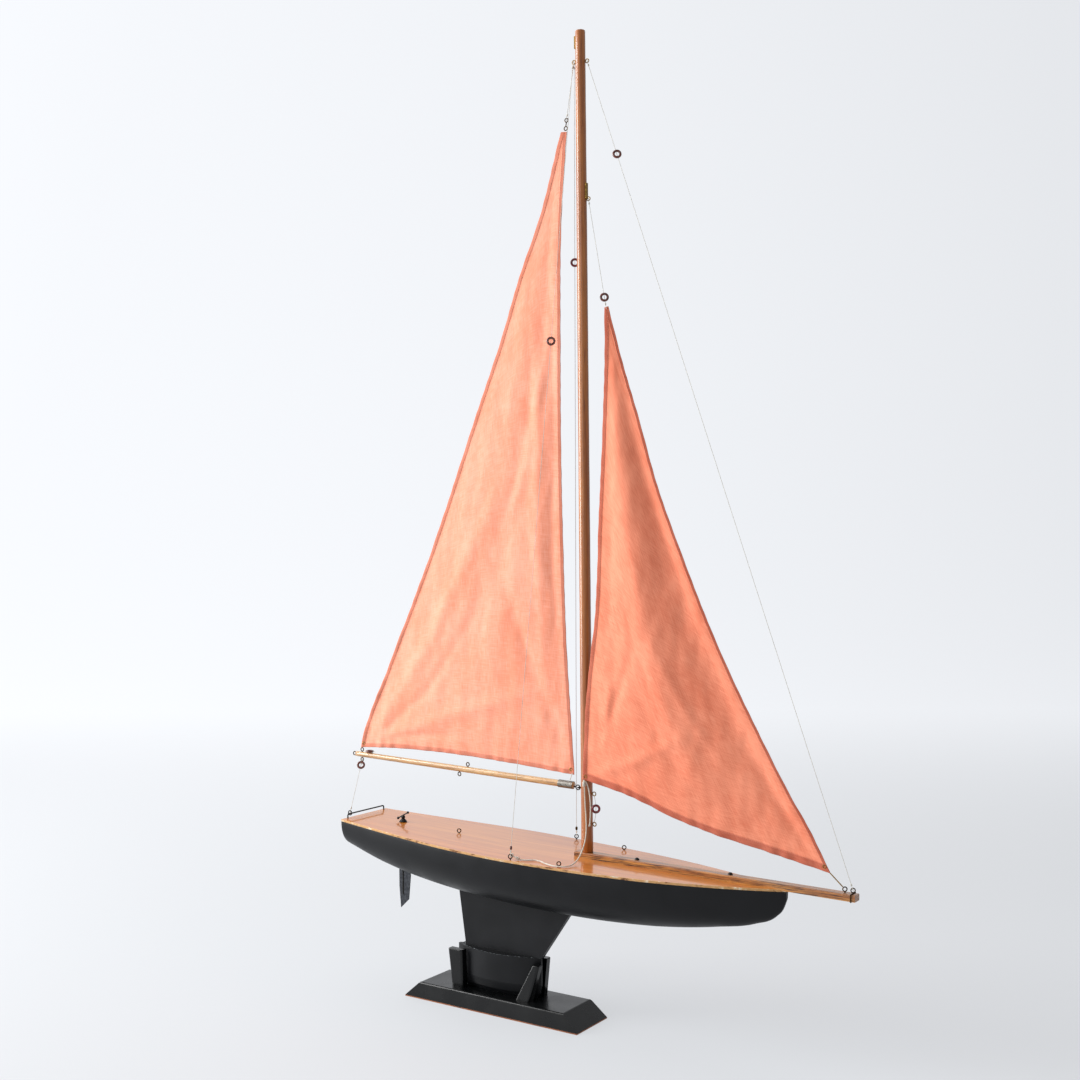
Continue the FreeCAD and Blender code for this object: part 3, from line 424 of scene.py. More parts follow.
def spline_line(name, points):
    """Centreline of a cord, in millimetres, read from a NURBS spline of order 3 through its route."""
    curve = bpy.data.curves.new(name + "_route", "CURVE")
    curve.dimensions, curve.resolution_u = "3D", 24
    line = curve.splines.new("NURBS")
    line.points.add(len(points) - 1)
    for spot, place in zip(line.points, points):
        spot.co = (place[0] * MM, place[1] * MM, place[2] * MM, 1.0)
    line.order_u = 3
    line.use_endpoint_u = True
    holder = bpy.data.objects.new(name + "_route", curve)
    bpy.context.scene.collection.objects.link(holder)
    bpy.context.view_layer.update()
    mesh = bpy.data.meshes.new_from_object(holder.evaluated_get(bpy.context.evaluated_depsgraph_get()))
    found = np.array([v.co for v in mesh.vertices]) / MM
    bpy.data.objects.remove(holder)
    bpy.data.meshes.remove(mesh)
    bpy.data.curves.remove(curve)
    return found


def even(line, step):
    """The same line with points a given step apart."""
    run = np.concatenate([[0], np.cumsum(np.linalg.norm(np.diff(line, axis=0), axis=1))])
    at = np.linspace(0, run[-1], max(3, int(round(run[-1] / step)) + 1))
    return np.stack([np.interp(at, run, line[:, k]) for k in range(3)], axis=1), run[-1]


def laid_line(name, route, radius, strands=2, pitch=3.0, sides=5):
    """Cotton line laid up from strands that wind round its centreline."""
    line, length = even(spline_line(name, route), pitch / LAY_STEPS)
    steps = np.gradient(line, axis=0)
    steps /= np.linalg.norm(steps, axis=1)[:, None]
    side = np.cross(steps[0], (0.3, 0.9, 0.1))
    strand = radius * (0.50 if strands == 2 else 0.52)
    parts = []
    frames = []
    for step in steps:
        side = side - step * side.dot(step)
        side = side / np.linalg.norm(side)
        frames.append((side, np.cross(step, side)))
    for s in range(strands):
        path = []
        for i, place in enumerate(line):
            a = 2 * math.pi * (s / strands + i / LAY_STEPS)
            around = frames[i][0] * math.cos(a) + frames[i][1] * math.sin(a)
            path.append(place + around * (radius - strand))
        parts.append((tube_points(path, strand, sides), capped(len(path), sides)))
    made = joined(name, parts)
    outward(made)
    return made, line, length


def coil(centre, way, radius, wire, turns, sides=6):
    """Turns of line wrapped round a line or an eye: (points, faces)."""
    centre, way = np.array(centre, float), np.array(way, float)
    way /= np.linalg.norm(way)
    side = np.cross(way, (0.31, 0.87, 0.21))
    side /= np.linalg.norm(side)
    other = np.cross(way, side)
    count = int(turns * COIL_STEPS) + 1
    path = []
    for i in range(count):
        a = 2 * math.pi * i / COIL_STEPS
        rise = 2.05 * wire * (i / COIL_STEPS - turns / 2)
        path.append(centre + way * rise + (side * math.cos(a) + other * math.sin(a)) * radius)
    return tube_points(path, wire, sides), capped(count, sides)


def loop(centre, way, across, wire, long=3.4, wide=1.5, sides=6):
    """Oval loop of line that goes through an eye at centre and closes towards way."""
    centre, way, across = (np.array(v, float) for v in (centre, way, across))
    way /= np.linalg.norm(way)
    across = across - way * across.dot(way)
    across /= np.linalg.norm(across)
    path = [centre + way * (long * (0.55 + 0.75 * math.sin(a))) + across * wide * math.cos(a)
            for a in (2 * math.pi * k / 24 for k in range(25))]
    return tube_points(path[:-1], wire, sides), grid_faces(24, sides, True) + [
        (23 * sides + k, 23 * sides + (k + 1) % sides, (k + 1) % sides, k) for k in range(sides)]


JIB_SHEET = [
    (71.4, -76.3, 235.6), (79.5, -73.5, 231.6), (88.5, -69.5, 231.1), (97.0, -61.5, 230.9),
    (107.0, -63.5, 230.6), (119.0, -70.0, 230.3), (131.0, -74.0, 230.0), (143.0, -73.5, 229.8),
    (151.0, -65.0, 229.6), (152.0, -52.0, 230.4), (150.5, -38.0, 234.6), (149.0, -26.0, 243.5),
    (148.2, -17.5, 254.5), (147.5, -13.2, 269.0), (145.5, -11.2, 285.0), (144.3, -11.0, 301.0),
    (144.2, -12.2, 316.0), (144.5, -13.6, 328.0), (144.5, -14.0, 338.4),
]
JIB_SHEET_TAIL = [
    (146.9, -13.0, 333.0), (149.9, -12.2, 326.5), (152.0, -11.4, 314.5), (152.7, -10.8, 300.0),
    (152.2, -10.4, 286.0), (151.0, -10.6, 272.5),
]


def box_line(node):
    """The two ends of a straight line's CAD node, lowest first, in millimetres, with any lean kept."""
    points = np.array([v.co for v in NODES[node].data.vertices]) / MM
    order = points[:, 2].argsort()
    count = max(8, len(order) // 2)
    low, high = points[order[:count]], points[order[-count:]]
    low = low[low[:, 2] < points[:, 2].min() + 1.5].mean(axis=0)
    high = high[high[:, 2] > points[:, 2].max() - 1.5].mean(axis=0)
    return low, high


def rigging_line(node, sag=0.0, radius=0.4, swings=None):
    """A taut cotton line in place of its CAD node, hitched to the eyes at both ends. swings names the end,
    low or high, that goes with the boom; the code reads only whether it is given, and then leaves the line
    in no body with its place baked into the mesh."""
    low, high = box_line(node)
    middle = (low + high) / 2 + np.array([-0.2, 0.0, -1.0]) * sag
    way = (high - low) / np.linalg.norm(high - low)
    made, line, length = laid_line(node + "_line", [low, middle, high], radius)
    hitches = joined(node + "_hitches", [
        coil(low + way * 3.0, way, radius * 1.9, radius * 0.8, 4),
        coil(high - way * 3.0, way, radius * 1.9, radius * 0.8, 4),
        loop(low, -way, HITCH_ACROSS, radius * 0.8), loop(high, way, HITCH_ACROSS, radius * 0.8)])
    outward(hitches)
    for one in (made, hitches):
        dress(one, WHITE_LINE, None if swings else "yacht")
        if swings:
            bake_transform(one)
    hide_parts(node)
    return made


for node_name, sag in (("shroud_starboard", 0.0), ("shroud_port", 0.0), ("topmast_stay", 1.2),
                       ("jib_halyard", 0.0)):
    rigging_line(node_name, sag)
rigging_line("main_halyard", swings="low")
rigging_line("mainsheet", swings="high")

foot_low, foot_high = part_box("mast_foot_line")
foot_x = (foot_high.x / MM) - 0.4
foot_route = [(foot_low.x / MM + 0.4, 0, foot_high.z / MM), (foot_x, 0, 303.5), (foot_x, 0, 286.5),
              (foot_low.x / MM + 0.4, 0, foot_low.z / MM)]
made, line, length = laid_line("mast_foot_line_cord", foot_route, 0.4)
dress(made, WHITE_LINE, "yacht")
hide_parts("mast_foot_line")

sheet_cord, line, length = laid_line("jib_sheet_cord", JIB_SHEET, 0.9, strands=3, pitch=5.5, sides=7)
deck_knot = joined("jib_sheet_deck_knot", [
    coil((77.0, -74.4, 233.2), (8.1, 2.8, -4.0), 1.5, 0.75, 3),
    loop((70.4, -76.6, 236.2), (-1, 0.3, 0.5), (0, 0.3, 1), 0.8, 2.2, 2.2)])
clew_knot = joined("jib_sheet_clew_knot", [coil((144.6, -14.0, 330.0), (0, 0, 1), 1.6, 0.8, 4)])
dress(sheet_cord, WHITE_LINE, None)
for knot, body in ((deck_knot, "yacht"), (clew_knot, "jib")):
    outward(knot)
    dress(knot, WHITE_LINE, body)
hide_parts("jib_sheet")
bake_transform(sheet_cord)

tail_cord, line, length = laid_line("jib_sheet_tail_cord", JIB_SHEET_TAIL, 0.9, strands=3, pitch=5.5, sides=7)
whipping = joined("jib_sheet_whipping", [coil((151.1, -10.6, 274.5), (0.1, 0, 1), 1.15, 0.35, 4)])
outward(whipping)
dress(tail_cord, WHITE_LINE, "jib")
dress(whipping, WHITE_LINE, "jib")
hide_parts("jib_sheet_tail")


# ---------------------------------------------------------------- hull and deck
STERN_X, LENGTH, HALF_BEAM, DEPTH, FULLNESS, DECK_SHEET = -258.8, 690.0, 84.0, 76.0, 2.6, 3.0
BREADTHS = [(0, .608), (.08, .705), (.18, .828), (.30, .95), (.42, 1), (.54, .955), (.66, .855), (.77, .692),
            (.87, .455), (.94, .248), (.98, .115), (.993, .068), (1, .040)]
DEPTHS = [(0, .58), (.08, .75), (.18, .88), (.30, .955), (.42, .99), (.54, 1), (.66, .975), (.77, .905),
          (.87, .775), (.94, .640), (.98, .47), (.993, .335), (1, .18)]


def deck_z(x):
    """Height of the deck's top at a place fore and aft."""
    share = (np.asarray(x, float) - STERN_X) / LENGTH
    return 245.4 - 21.0 * share - 20.1 * share * (1 - share)


def hull_ring(share, drop, steps):
    """Half-open ring of the hull's outside, below drop, from the port deck edge round the bilges."""
    x = STERN_X + LENGTH * share
    wide, deep = HALF_BEAM * float(through(BREADTHS, share)), DEPTH * float(through(DEPTHS, share))
    edge = math.asin(min(1.0, drop / deep) ** (FULLNESS / 2))
    points = []
    for i in range(steps + 1):
        a = edge + (math.pi - 2 * edge) * i / steps
        c, s = math.cos(a), math.sin(a)
        across = wide * math.copysign(abs(c) ** (2 / FULLNESS), c)
        points.append((x, across, float(deck_z(x)) - deep * abs(s) ** (2 / FULLNESS)))
    return points


shares = list(np.linspace(0, 0.86, 80)) + list(0.86 + 0.14 * np.sin(np.linspace(0, math.pi / 2, 46))[1:])
RING_STEPS = 72
skin = [p for share in shares for p in hull_ring(share, DECK_SHEET, RING_STEPS)]
columns = RING_STEPS + 1
faces = grid_faces(len(shares), columns)
faces += [tuple(range(columns))[::-1], tuple((len(shares) - 1) * columns + k for k in range(columns))]
faces += [(i * columns, (i + 1) * columns, (i + 1) * columns + columns - 1, i * columns + columns - 1)
          for i in range(len(shares) - 1)]
hull = piece("hull_skin", skin, faces)
outward(hull)
for polygon in hull.data.polygons:
    if len(polygon.vertices) > 4:
        polygon.use_smooth = False
soften = hull.modifiers.new("edge", "BEVEL")
soften.width, soften.segments, soften.limit_method, soften.angle_limit = 0.0012, 3, "ANGLE", math.radians(50)
dress(hull, HULL_ENAMEL, "yacht")
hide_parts("hull_shell")


def chips(x, side, height):
    """How far the cut deck edge wanders from a true line, in millimetres."""
    return (0.22 * math.sin(x * 0.9 + side * 3 + height) * math.sin(x * 0.37 + 1.3 * height)
            + 0.12 * math.sin(x * 2.3 + side))


EDGE_INSET, EDGE_LIP = 0.25, 0.45      # how far the top's corner is worn back, and down
deck_points, deck_rows = [], np.linspace(0, 1, 260)
across = np.linspace(1, -1, 25)
for share in deck_rows:
    x = STERN_X + LENGTH * share
    z = float(deck_z(x))
    wide = HALF_BEAM * float(through(BREADTHS, share)) * 0.999
    ring_points = [(x, a * (wide if abs(a) < 1 else wide - EDGE_INSET), z) for a in across]
    starboard, port = [(x, (wide + chips(x, a, 1)) * a, z - EDGE_LIP) for a in (-1.0, 1.0)]
    lower = [(x, (wide + chips(x, a, 2)) * a, z - DECK_SHEET + 0.02) for a in (-1.0, 1.0)]
    deck_points += ring_points + [starboard] + lower + [port]
count = len(across) + 4
deck_faces = grid_faces(len(deck_rows), count, True)
deck_faces += [tuple(range(count))[::-1], tuple((len(deck_rows) - 1) * count + k for k in range(count))]
deck = piece("deck_sheet", deck_points, deck_faces, smooth=False)
outward(deck)
dress(deck, DECK_VARNISH, "yacht")
deck.data.materials.append(DECK_EDGE)
for polygon in deck.data.polygons:
    below = polygon.center.z < float(deck_z(polygon.center.x / MM)) * MM - 0.0001
    if below or abs(polygon.normal.z) < 0.6:
        polygon.material_index = 1
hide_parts("deck")

# ---------------------------------------------------------------- spars
mast_low, mast_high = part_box("mast")
mast_length = (mast_high.z - mast_low.z) / MM
MAST_X, MAST_RAKE, MAST_RADIUS, MAST_TAPER = 140.6, math.radians(0.282), 8.1, 1.2
BOOM_LENGTH, BOOM_RADIUS, BOOM_TAPER = 393.28, 4.6, 0.7
mast_head_x = MAST_X - mast_length * math.tan(MAST_RAKE)
mast = turned("mast_spar", (MAST_X, 0, mast_low.z / MM), (mast_head_x, 0, mast_high.z / MM),
              [(0, 7.6), (0.6, MAST_RADIUS)]
              + [(mast_length * k / 60, MAST_RADIUS - MAST_TAPER * k / 60 + 0.06 * math.sin(k * 1.7))
                 for k in range(1, 60)]
              + [(mast_length - 1.2, 6.9), (mast_length - 0.4, 6.6), (mast_length, 5.9)])
dress(mast, MAST_VARNISH, "yacht")
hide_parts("mast")
boom = turned("boom_spar", (119.6, 0, 323.6), (-273.5, 0, 335.5),
              [(0, 4.1), (0.5, BOOM_RADIUS)]
              + [(BOOM_LENGTH * k / 40, BOOM_RADIUS - BOOM_TAPER * k / 40 + 0.05 * math.sin(k * 2.1))
                 for k in range(1, 40)]
              + [(392.6, 3.9), (BOOM_LENGTH, 3.3)], 40)
dress(boom, BOOM_VARNISH, "main_boom")
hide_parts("boom")

FINISHES = {
    "stand_black": (STAND_ENAMEL, ["stand_base", "stand_post_aft_starboard", "stand_post_aft_port",
                                   "stand_post_fore_starboard", "stand_post_fore_port"]),
    "hull_black": (HULL_ENAMEL, ["keel_fin", "ballast"]),
    "sole_brown": (SOLE_EDGE, ["stand_sole"]),
    "spar_varnish": (SPAR_VARNISH, ["bowsprit"]),
    "inner_wood": (INNER_WOOD, ["deck_beams", "mast_step_block"]),
    "brass": (BRASS, ["masthead_plate", "jib_halyard_hook", "tack_wire", "rudder_tube", "mast_eyes"]),
    "dark_wire": (DARK_WIRE, ["stern_horse", "sheet_ring", "chainplate_eyes", "tiller_head", "bowsprit_screws",
                              "boom_link", "gooseneck_eye", "rudder_stock"]),
    "dark_brass": (DARK_BRASS, ["deck_eyes", "tack_eye", "stay_hook", "boom_eyes", "mainsail_head_clip"]),
    "steel": (STEEL, ["mast_pin", "keel_bolts", "keel_nuts", "stand_post_screws", "boom_ferrule"]),
    "rudder_sheet": (RUDDER_SHEET, ["rudder_blade"]),
    "line_white": (WHITE_LINE, ["mainsail_tack_lashing", "outhaul_line"]),
    "bowsie_brown": (BOWSIE_BROWN, ["shroud_bowsie_starboard", "stay_bowsie", "mainsheet_bowsie",
                                    "jib_halyard_bowsie", "outhaul_bowsie"]),
    "bowsie_red": (BOWSIE_RED, ["shroud_bowsie_port", "mast_foot_bowsie"]),
}
for material, names in FINISHES.values():
    for name in names:
        NODES[name].data.materials.clear()
        NODES[name].data.materials.append(material)

# ---------------------------------------------------------------- small fittings on the rigging and the keel
for node, material, slot in (("shroud_starboard", BOWSIE_BROWN, "bowsie_brown"),
                             ("shroud_port", DARK_BRASS, "dark_brass")):
    low, high = box_line(node)
    way = (high - low) / np.linalg.norm(high - low)
    bead = turned(node + "_toggle", low + way * 5.5, low + way * 10.5,
                  [(0, 0.9), (0.4, 1.35), (1.2, 1.6), (2.5, 1.7), (3.8, 1.6), (4.6, 1.35), (5.0, 0.9)], 20)
    dress(bead, material, "yacht")

ballast_low, ballast_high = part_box("ballast")
shoulder = ballast_high.z / MM
SEAM_MIDDLE, SEAM_HALF_LENGTH, SEAM_HALF_WIDTH = -6.0, 71.2, 19.0
seam_path = []
for side in (-1, 1):
    for k in range(60):
        reach = side * (1 - 2 * (k + 0.5) / 60)
        half = SEAM_HALF_WIDTH * (1 - reach * reach)
        seam_path.append((SEAM_MIDDLE + SEAM_HALF_LENGTH * reach, side * max(1.2, half - 0.5),
                          shoulder - 0.35 + 0.25 * math.sin(k * 1.9 + side)))
bead_radius = [0.55 + 0.2 * math.sin(i * 2.7) for i in range(len(seam_path) + 1)]
seam_path.append(seam_path[0])
# The bead's pale patches are a painted highlight along the seam.
keel_bead = joined("ballast_paint_edge", [(tube_points(seam_path, bead_radius, 8), capped(len(seam_path), 8))])
outward(keel_bead)
dress(keel_bead, BALLAST_SEAM_HIGHLIGHT, "yacht")

# ---------------------------------------------------------------- sails
CLOTH, DOUBLING = 0.55, 0.42      # thickness of the cloth, and what a hem adds on each face


def sail(name, luff, leech, foot, belly, folds, hem_widths, ripple, rows=230, columns=130, sway=0.0):
    """Sail from its three edges. luff and leech are (height, place fore and aft, place across) lists read by
    share of the height; foot is the rise of the foot above its straight chord; folds are soft creases:
    (points along it, half width, depth). sway moves the deepest part of the belly towards the leech."""
    def spread(count):
        """Shares from 0 to 1, closer together over the hems."""
        base = np.linspace(0, 1, count)
        return base - 0.8 * np.sin(2 * math.pi * base) / (2 * math.pi)

    S, V = np.meshgrid(spread(columns), spread(rows))
    a = np.stack([through([(p[0], p[k]) for p in luff], V) for k in (1, 2, 3)], axis=2)
    b = np.stack([through([(p[0], p[k]) for p in leech], V) for k in (1, 2, 3)], axis=2)
    P = a + (b - a) * S[..., None]
    P[..., 2] += through(foot, S) * (1 - V) ** 6
    chord = np.linalg.norm(b - a, axis=2)
    fullness = 0.25 + 0.75 * np.sin(math.pi * np.clip(V, 0, 1) ** 0.8) ** 0.6
    out = -belly * chord * np.sin(math.pi * S ** (1.0 + sway)) * fullness
    curved = out.copy()
    flat_x, flat_z = P[..., 0].copy(), P[..., 2].copy()
    for line, half_width, depth in folds:
        line = np.array(line, float)
        best = np.full(S.shape, 1e9)
        along = np.zeros(S.shape)
        run = np.concatenate([[0], np.cumsum(np.linalg.norm(np.diff(line, axis=0), axis=1))])
        for k in range(len(line) - 1):
            d = line[k + 1] - line[k]
            t = np.clip(((flat_x - line[k, 0]) * d[0] + (flat_z - line[k, 1]) * d[1]) / d.dot(d), 0, 1)
            gap = np.hypot(flat_x - line[k, 0] - t * d[0], flat_z - line[k, 1] - t * d[1])
            near = gap < best
            best = np.where(near, gap, best)
            along = np.where(near, (run[k] + t * math.sqrt(d.dot(d))) / run[-1], along)
        fade = np.sin(math.pi * np.clip(along, 0.02, 0.98)) ** 0.6
        out += depth * fade * np.exp(-(best / half_width) ** 2)
    held = np.clip(np.minimum(S, 1 - S) * chord / 24.0, 0, 1)
    held = held * held * (3 - 2 * held)
    out = curved + (out - curved) * held
    for size, height, seed in ripple:
        waves = (np.sin(flat_x / size + 1.7 * np.sin(flat_z / (size * 4.3) + seed))
                 * np.sin(flat_z / (size * 5.5) + 1.3 * np.sin(flat_x / (size * 1.6) + 2 * seed)))
        out += height * waves * np.clip(held, 0.15, 1)
    # Puckers that the stitching draws up along the foot, the luff and the leech.
    rise = (P[..., 2] - P[:1, :, 2])
    out += 0.9 * np.sin(flat_x / 4.4 + 2 * np.sin(flat_x / 17.0)) * np.exp(-(rise / 13.0) ** 2)
    edge = np.exp(-(S * chord / 7.0) ** 2) + np.exp(-((1 - S) * chord / 9.0) ** 2)
    out += 0.4 * np.sin(flat_z / 4.6 + 2 * np.sin(flat_z / 23.0)) * edge
    # Both upright edges curl: the luff to port, the leech to starboard and more so low down.
    out += 0.8 * np.exp(-(S * chord / 4.0) ** 2)
    curl = 0.8 + 2.2 * np.exp(-V / 0.35) * (0.6 + 0.4 * np.sin(flat_z / 13.0))
    out -= curl * np.exp(-((1 - S) * chord / 5.5) ** 2)
    P[..., 1] += out
    across_way = np.gradient(P, axis=1)
    upward_way = np.gradient(P, axis=0)
    normal = np.cross(across_way, upward_way)
    normal /= np.linalg.norm(normal, axis=2)[..., None] + 1e-12
    if normal[..., 1].mean() > 0:
        normal = -normal
    luff_hem, leech_hem, foot_hem = hem_widths
    gaps = (S * chord / luff_hem, (1 - S) * chord / leech_hem, rise / foot_hem)
    doubled = np.zeros(S.shape)
    for gap in gaps:
        doubled = np.maximum(doubled, np.clip((1.0 - gap) * 5.0, 0, 1))
    thick = CLOTH / 2 + DOUBLING * doubled
    front, back = P + normal * thick[..., None], P - normal * thick[..., None]
    count = rows * columns
    rim = (list(range(columns)) + [i * columns + columns - 1 for i in range(1, rows)]
           + [(rows - 1) * columns + k for k in range(columns - 2, -1, -1)]
           + [i * columns for i in range(rows - 2, 0, -1)])
    following = rim[1:] + rim[:1]
    faces = grid_faces(rows, columns)
    faces += [tuple(count + i for i in f[::-1]) for f in grid_faces(rows, columns)]
    faces += [(a, b, count + b, count + a) for a, b in zip(rim, following)]
    made = piece(name, list(front.reshape(-1, 3)) + list(back.reshape(-1, 3)), faces)
    outward(made)
    hem = made.data.attributes.new("hem", "FLOAT", "POINT")
    hem.data.foreach_set("value", np.concatenate([doubled.ravel()] * 2).astype(np.float32))
    width_steps = np.linalg.norm(np.diff(P, axis=1), axis=2)
    height_steps = np.linalg.norm(np.diff(P, axis=0), axis=2)
    width_run = np.concatenate([np.zeros((rows, 1)), np.cumsum(width_steps, axis=1)], axis=1)
    height_run = np.concatenate([np.zeros((1, columns)), np.cumsum(height_steps, axis=0)], axis=0)
    flat = np.stack([width_run.ravel(), height_run.ravel()], axis=1)
    flat = np.concatenate([flat, flat])
    layer = made.data.uv_layers.new(name="cloth")
    corners = np.zeros(len(made.data.loops), int)
    made.data.loops.foreach_get("vertex_index", corners)
    layer.data.foreach_set("uv", flat[corners].ravel().astype(np.float32))
    sides = np.linalg.norm(np.cross(np.diff(P, axis=0)[:, :-1], np.diff(P, axis=1)[:-1]), axis=2)
    return made, P, normal, thick, (S, chord, rise), float(sides.sum())


MAIN_HEMS, JIB_HEMS = (5.0, 6.0, 7.0), (5.0, 6.0, 11.0)      # at the luff, the leech and the foot
MAIN_LUFF = [
    (0, 119.3, 0, 338.0), (.02, 118.4, 0, 356.0), (.10, 113.6, 0, 425.0), (.195, 108.0, 0, 509.0),
    (.333, 103.6, 0, 631.0), (.55, 99.9, 0, 823.0), (.664, 100.1, 0, 924.0), (.85, 102.0, 0, 1087.0),
    (1, 111.6, 0, 1219.6),
]
MAIN_LEECH = [
    (0, -262.0, 0, 346.4), (.02, -258.0, 0, 363.5), (.13, -213.0, 0, 460.0), (.325, -131.0, 0, 630.8),
    (.58, -36.8, 0, 852.9), (.675, -1.2, 0, 935.9), (.788, 36.4, 0, 1035.0), (.866, 66.3, 0, 1102.6),
    (1, 103.6, 0, 1219.8),
]
main_foot_rise = [(0, 0.0), (.24, 5.3), (.55, 8.4), (.84, 5.1), (1, 0.0)]
MAIN_FOLDS = [
    ([(108, 1165), (91, 1044), (57, 853), (13, 687), (-49, 517), (-122, 397)], 20, 3.6),
    ([(83, 1058), (93, 823), (89, 631), (104, 440)], 8, 3.0),
    ([(60, 1000), (66, 820), (64, 640), (75, 470)], 10, -2.4),
    ([(104, 1150), (84, 950), (44, 760), (-20, 600)], 9, -1.8),
    ([(-246, 352), (-122, 514), (5, 744)], 13, -2.6),
    ([(-246, 352), (-85, 407), (71, 452)], 11, -2.2),
    ([(-240, 356), (-130, 440), (-40, 560)], 8, 1.8),
    ([(-250, 350), (-170, 372), (-60, 380)], 6, 1.4),
    ([(113, 352), (60, 470), (-10, 640)], 10, 2.0),
    ([(113, 352), (20, 400), (-80, 470)], 8, 1.5),
]
main_sail, main_grid, main_normal, main_thick, main_maps, main_area = sail(
    "mainsail_cloth", MAIN_LUFF, MAIN_LEECH, main_foot_rise, 0.032, MAIN_FOLDS, MAIN_HEMS,
    [(6.0, 0.4, 0.4), (12.0, 0.6, 1.9), (3.4, 0.14, 3.1)])
dress(main_sail, SAIL_CLOTH, "main_boom")
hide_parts("mainsail")

JIB_LUFF = [
    (0, 487.6, 0, 251.0), (.05, 463.9, -.3, 296.0), (.12, 436.6, -1, 339.9), (.225, 394.8, -2, 414.6),
    (.34, 351.1, -3, 497.9), (.43, 321.7, -3.5, 560.7), (.53, 291.8, -4, 631.3), (.66, 254.0, -3.6, 725.8),
    (.79, 224.4, -3, 821.4), (.89, 201.1, -1.8, 891.5), (1, 177.0, 0, 972.8),
]
JIB_LEECH = [
    (0, 144.2, -14, 336.6), (.06, 146.0, -14.4, 376.2), (.19, 152.4, -15, 461.4), (.35, 164.7, -14, 561.4),
    (.55, 169.6, -12, 688.9), (.74, 174.3, -9, 808.1), (.93, 175.0, -4, 927.2), (1, 172.0, 0, 971.6),
]
jib_foot_rise = [(0, 0.0), (.13, -1.0), (.26, -2.2), (.43, -4.6), (.60, -3.4), (.79, 2.6), (.95, 0.6),
                 (1, 0.0)]
JIB_FOLDS = [
    ([(190, 930), (212, 850), (236, 756), (262, 662), (296, 554), (344, 448), (386, 377), (440, 305)], 17, 5.0),
    ([(183, 915), (190, 850), (203, 756), (219, 662), (242, 554), (276, 448), (306, 377), (352, 312)], 20, -5.5),
    ([(176, 900), (177, 800), (180, 690), (186, 580), (196, 480), (214, 400)], 15, 2.6),
    ([(232, 461), (269, 392), (312, 338)], 8, 1.8),
    ([(255, 520), (300, 440), (352, 372)], 7, -1.6),
    ([(205, 600), (228, 520), (262, 440), (300, 372)], 6, 1.3),
    ([(167, 631), (162, 578), (158, 524)], 5, 2.4),
    ([(470, 264), (418, 334), (378, 399)], 8, 2.4),
    ([(470, 264), (398, 299), (314, 336)], 8, 2.0),
    ([(155, 342), (229, 368), (303, 407)], 8, -1.8),
    ([(155, 342), (199, 445), (230, 526)], 7, 1.8),
    ([(160, 352), (182, 402), (190, 470)], 6, -1.6),
]
jib_sail, jib_grid, jib_normal, jib_thick, jib_maps, jib_area = sail(
    "jib_cloth", JIB_LUFF, JIB_LEECH, jib_foot_rise, 0.062, JIB_FOLDS, JIB_HEMS,
    [(6.0, 0.36, 0.9), (11.0, 0.4, 2.9), (3.4, 0.14, 1.1)], sway=0.35)
dress(jib_sail, JIB_CLOTH, "jib")
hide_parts("jib")


# ---------------------------------------------------------------- stitches
def stitch_tree():
    """Short round-ended threads set end to end along a polyline, a spacing apart."""
    tree = bpy.data.node_groups.new("sail_stitching", "GeometryNodeTree")
    for name, kind, value in (
            ("Geometry", "NodeSocketGeometry", None), ("Spacing", "NodeSocketFloat", 0.0026),
            ("Stitch length", "NodeSocketFloat", 0.0017), ("Thread radius", "NodeSocketFloat", 0.00017),
            ("Slack", "NodeSocketFloat", 0.0001), ("Thread", "NodeSocketMaterial", None)):
        socket = tree.interface.new_socket(name, in_out="INPUT", socket_type=kind)
        if value is not None:
            socket.default_value = value
    tree.interface.new_socket("Geometry", in_out="OUTPUT", socket_type="NodeSocketGeometry")
    given = add(tree, "NodeGroupInput").outputs
    path = add(tree, "GeometryNodeMeshToCurve", links={"Mesh": given["Geometry"]}).outputs["Curve"]
    marks = add(tree, "GeometryNodeCurveToPoints", links={"Curve": path, "Length": given["Spacing"]},
                mode="LENGTH")
    thread = add(tree, "GeometryNodeMeshUVSphere", {"Segments": 6, "Rings": 4, "Radius": 1.0}).outputs["Mesh"]
    half_length = reckoned(tree, "MULTIPLY", given["Stitch length"], 0.5)
    shape = add(tree, "ShaderNodeCombineXYZ", links={"X": given["Thread radius"], "Y": given["Thread radius"],
                                                     "Z": half_length})
    drift = add(tree, "FunctionNodeRandomValue", {"Seed": 7}, data_type="FLOAT_VECTOR")
    small = add(tree, "ShaderNodeVectorMath", {1: (0.5, 0.5, 0.5)}, {0: drift.outputs["Value"]},
                operation="SUBTRACT")
    offset = add(tree, "ShaderNodeVectorMath", {}, {0: small.outputs["Vector"]}, operation="SCALE")
    tree.links.new(given["Slack"], offset.inputs["Scale"])
    moved = add(tree, "GeometryNodeSetPosition", links={"Geometry": marks.outputs["Points"],
                                                        "Offset": offset.outputs["Vector"]})
    set_out = add(tree, "GeometryNodeInstanceOnPoints", links={
        "Points": moved.outputs["Geometry"], "Instance": thread, "Rotation": marks.outputs["Rotation"],
        "Scale": shape.outputs["Vector"]})
    real = add(tree, "GeometryNodeRealizeInstances", links={"Geometry": set_out.outputs["Instances"]})
    named = add(tree, "GeometryNodeSetMaterial", links={"Geometry": real.outputs["Geometry"],
                                                        "Material": given["Thread"]})
    add(tree, "NodeGroupOutput", links={"Geometry": named.outputs["Geometry"]})
    return tree


STITCHING = stitch_tree()
STITCH_SPACING = 0.0026
STITCH_INSET = 0.82      # how far in the seam runs, as a share of the hem's width
HEM_CORNER = 3           # grid steps left free of stitches at each corner


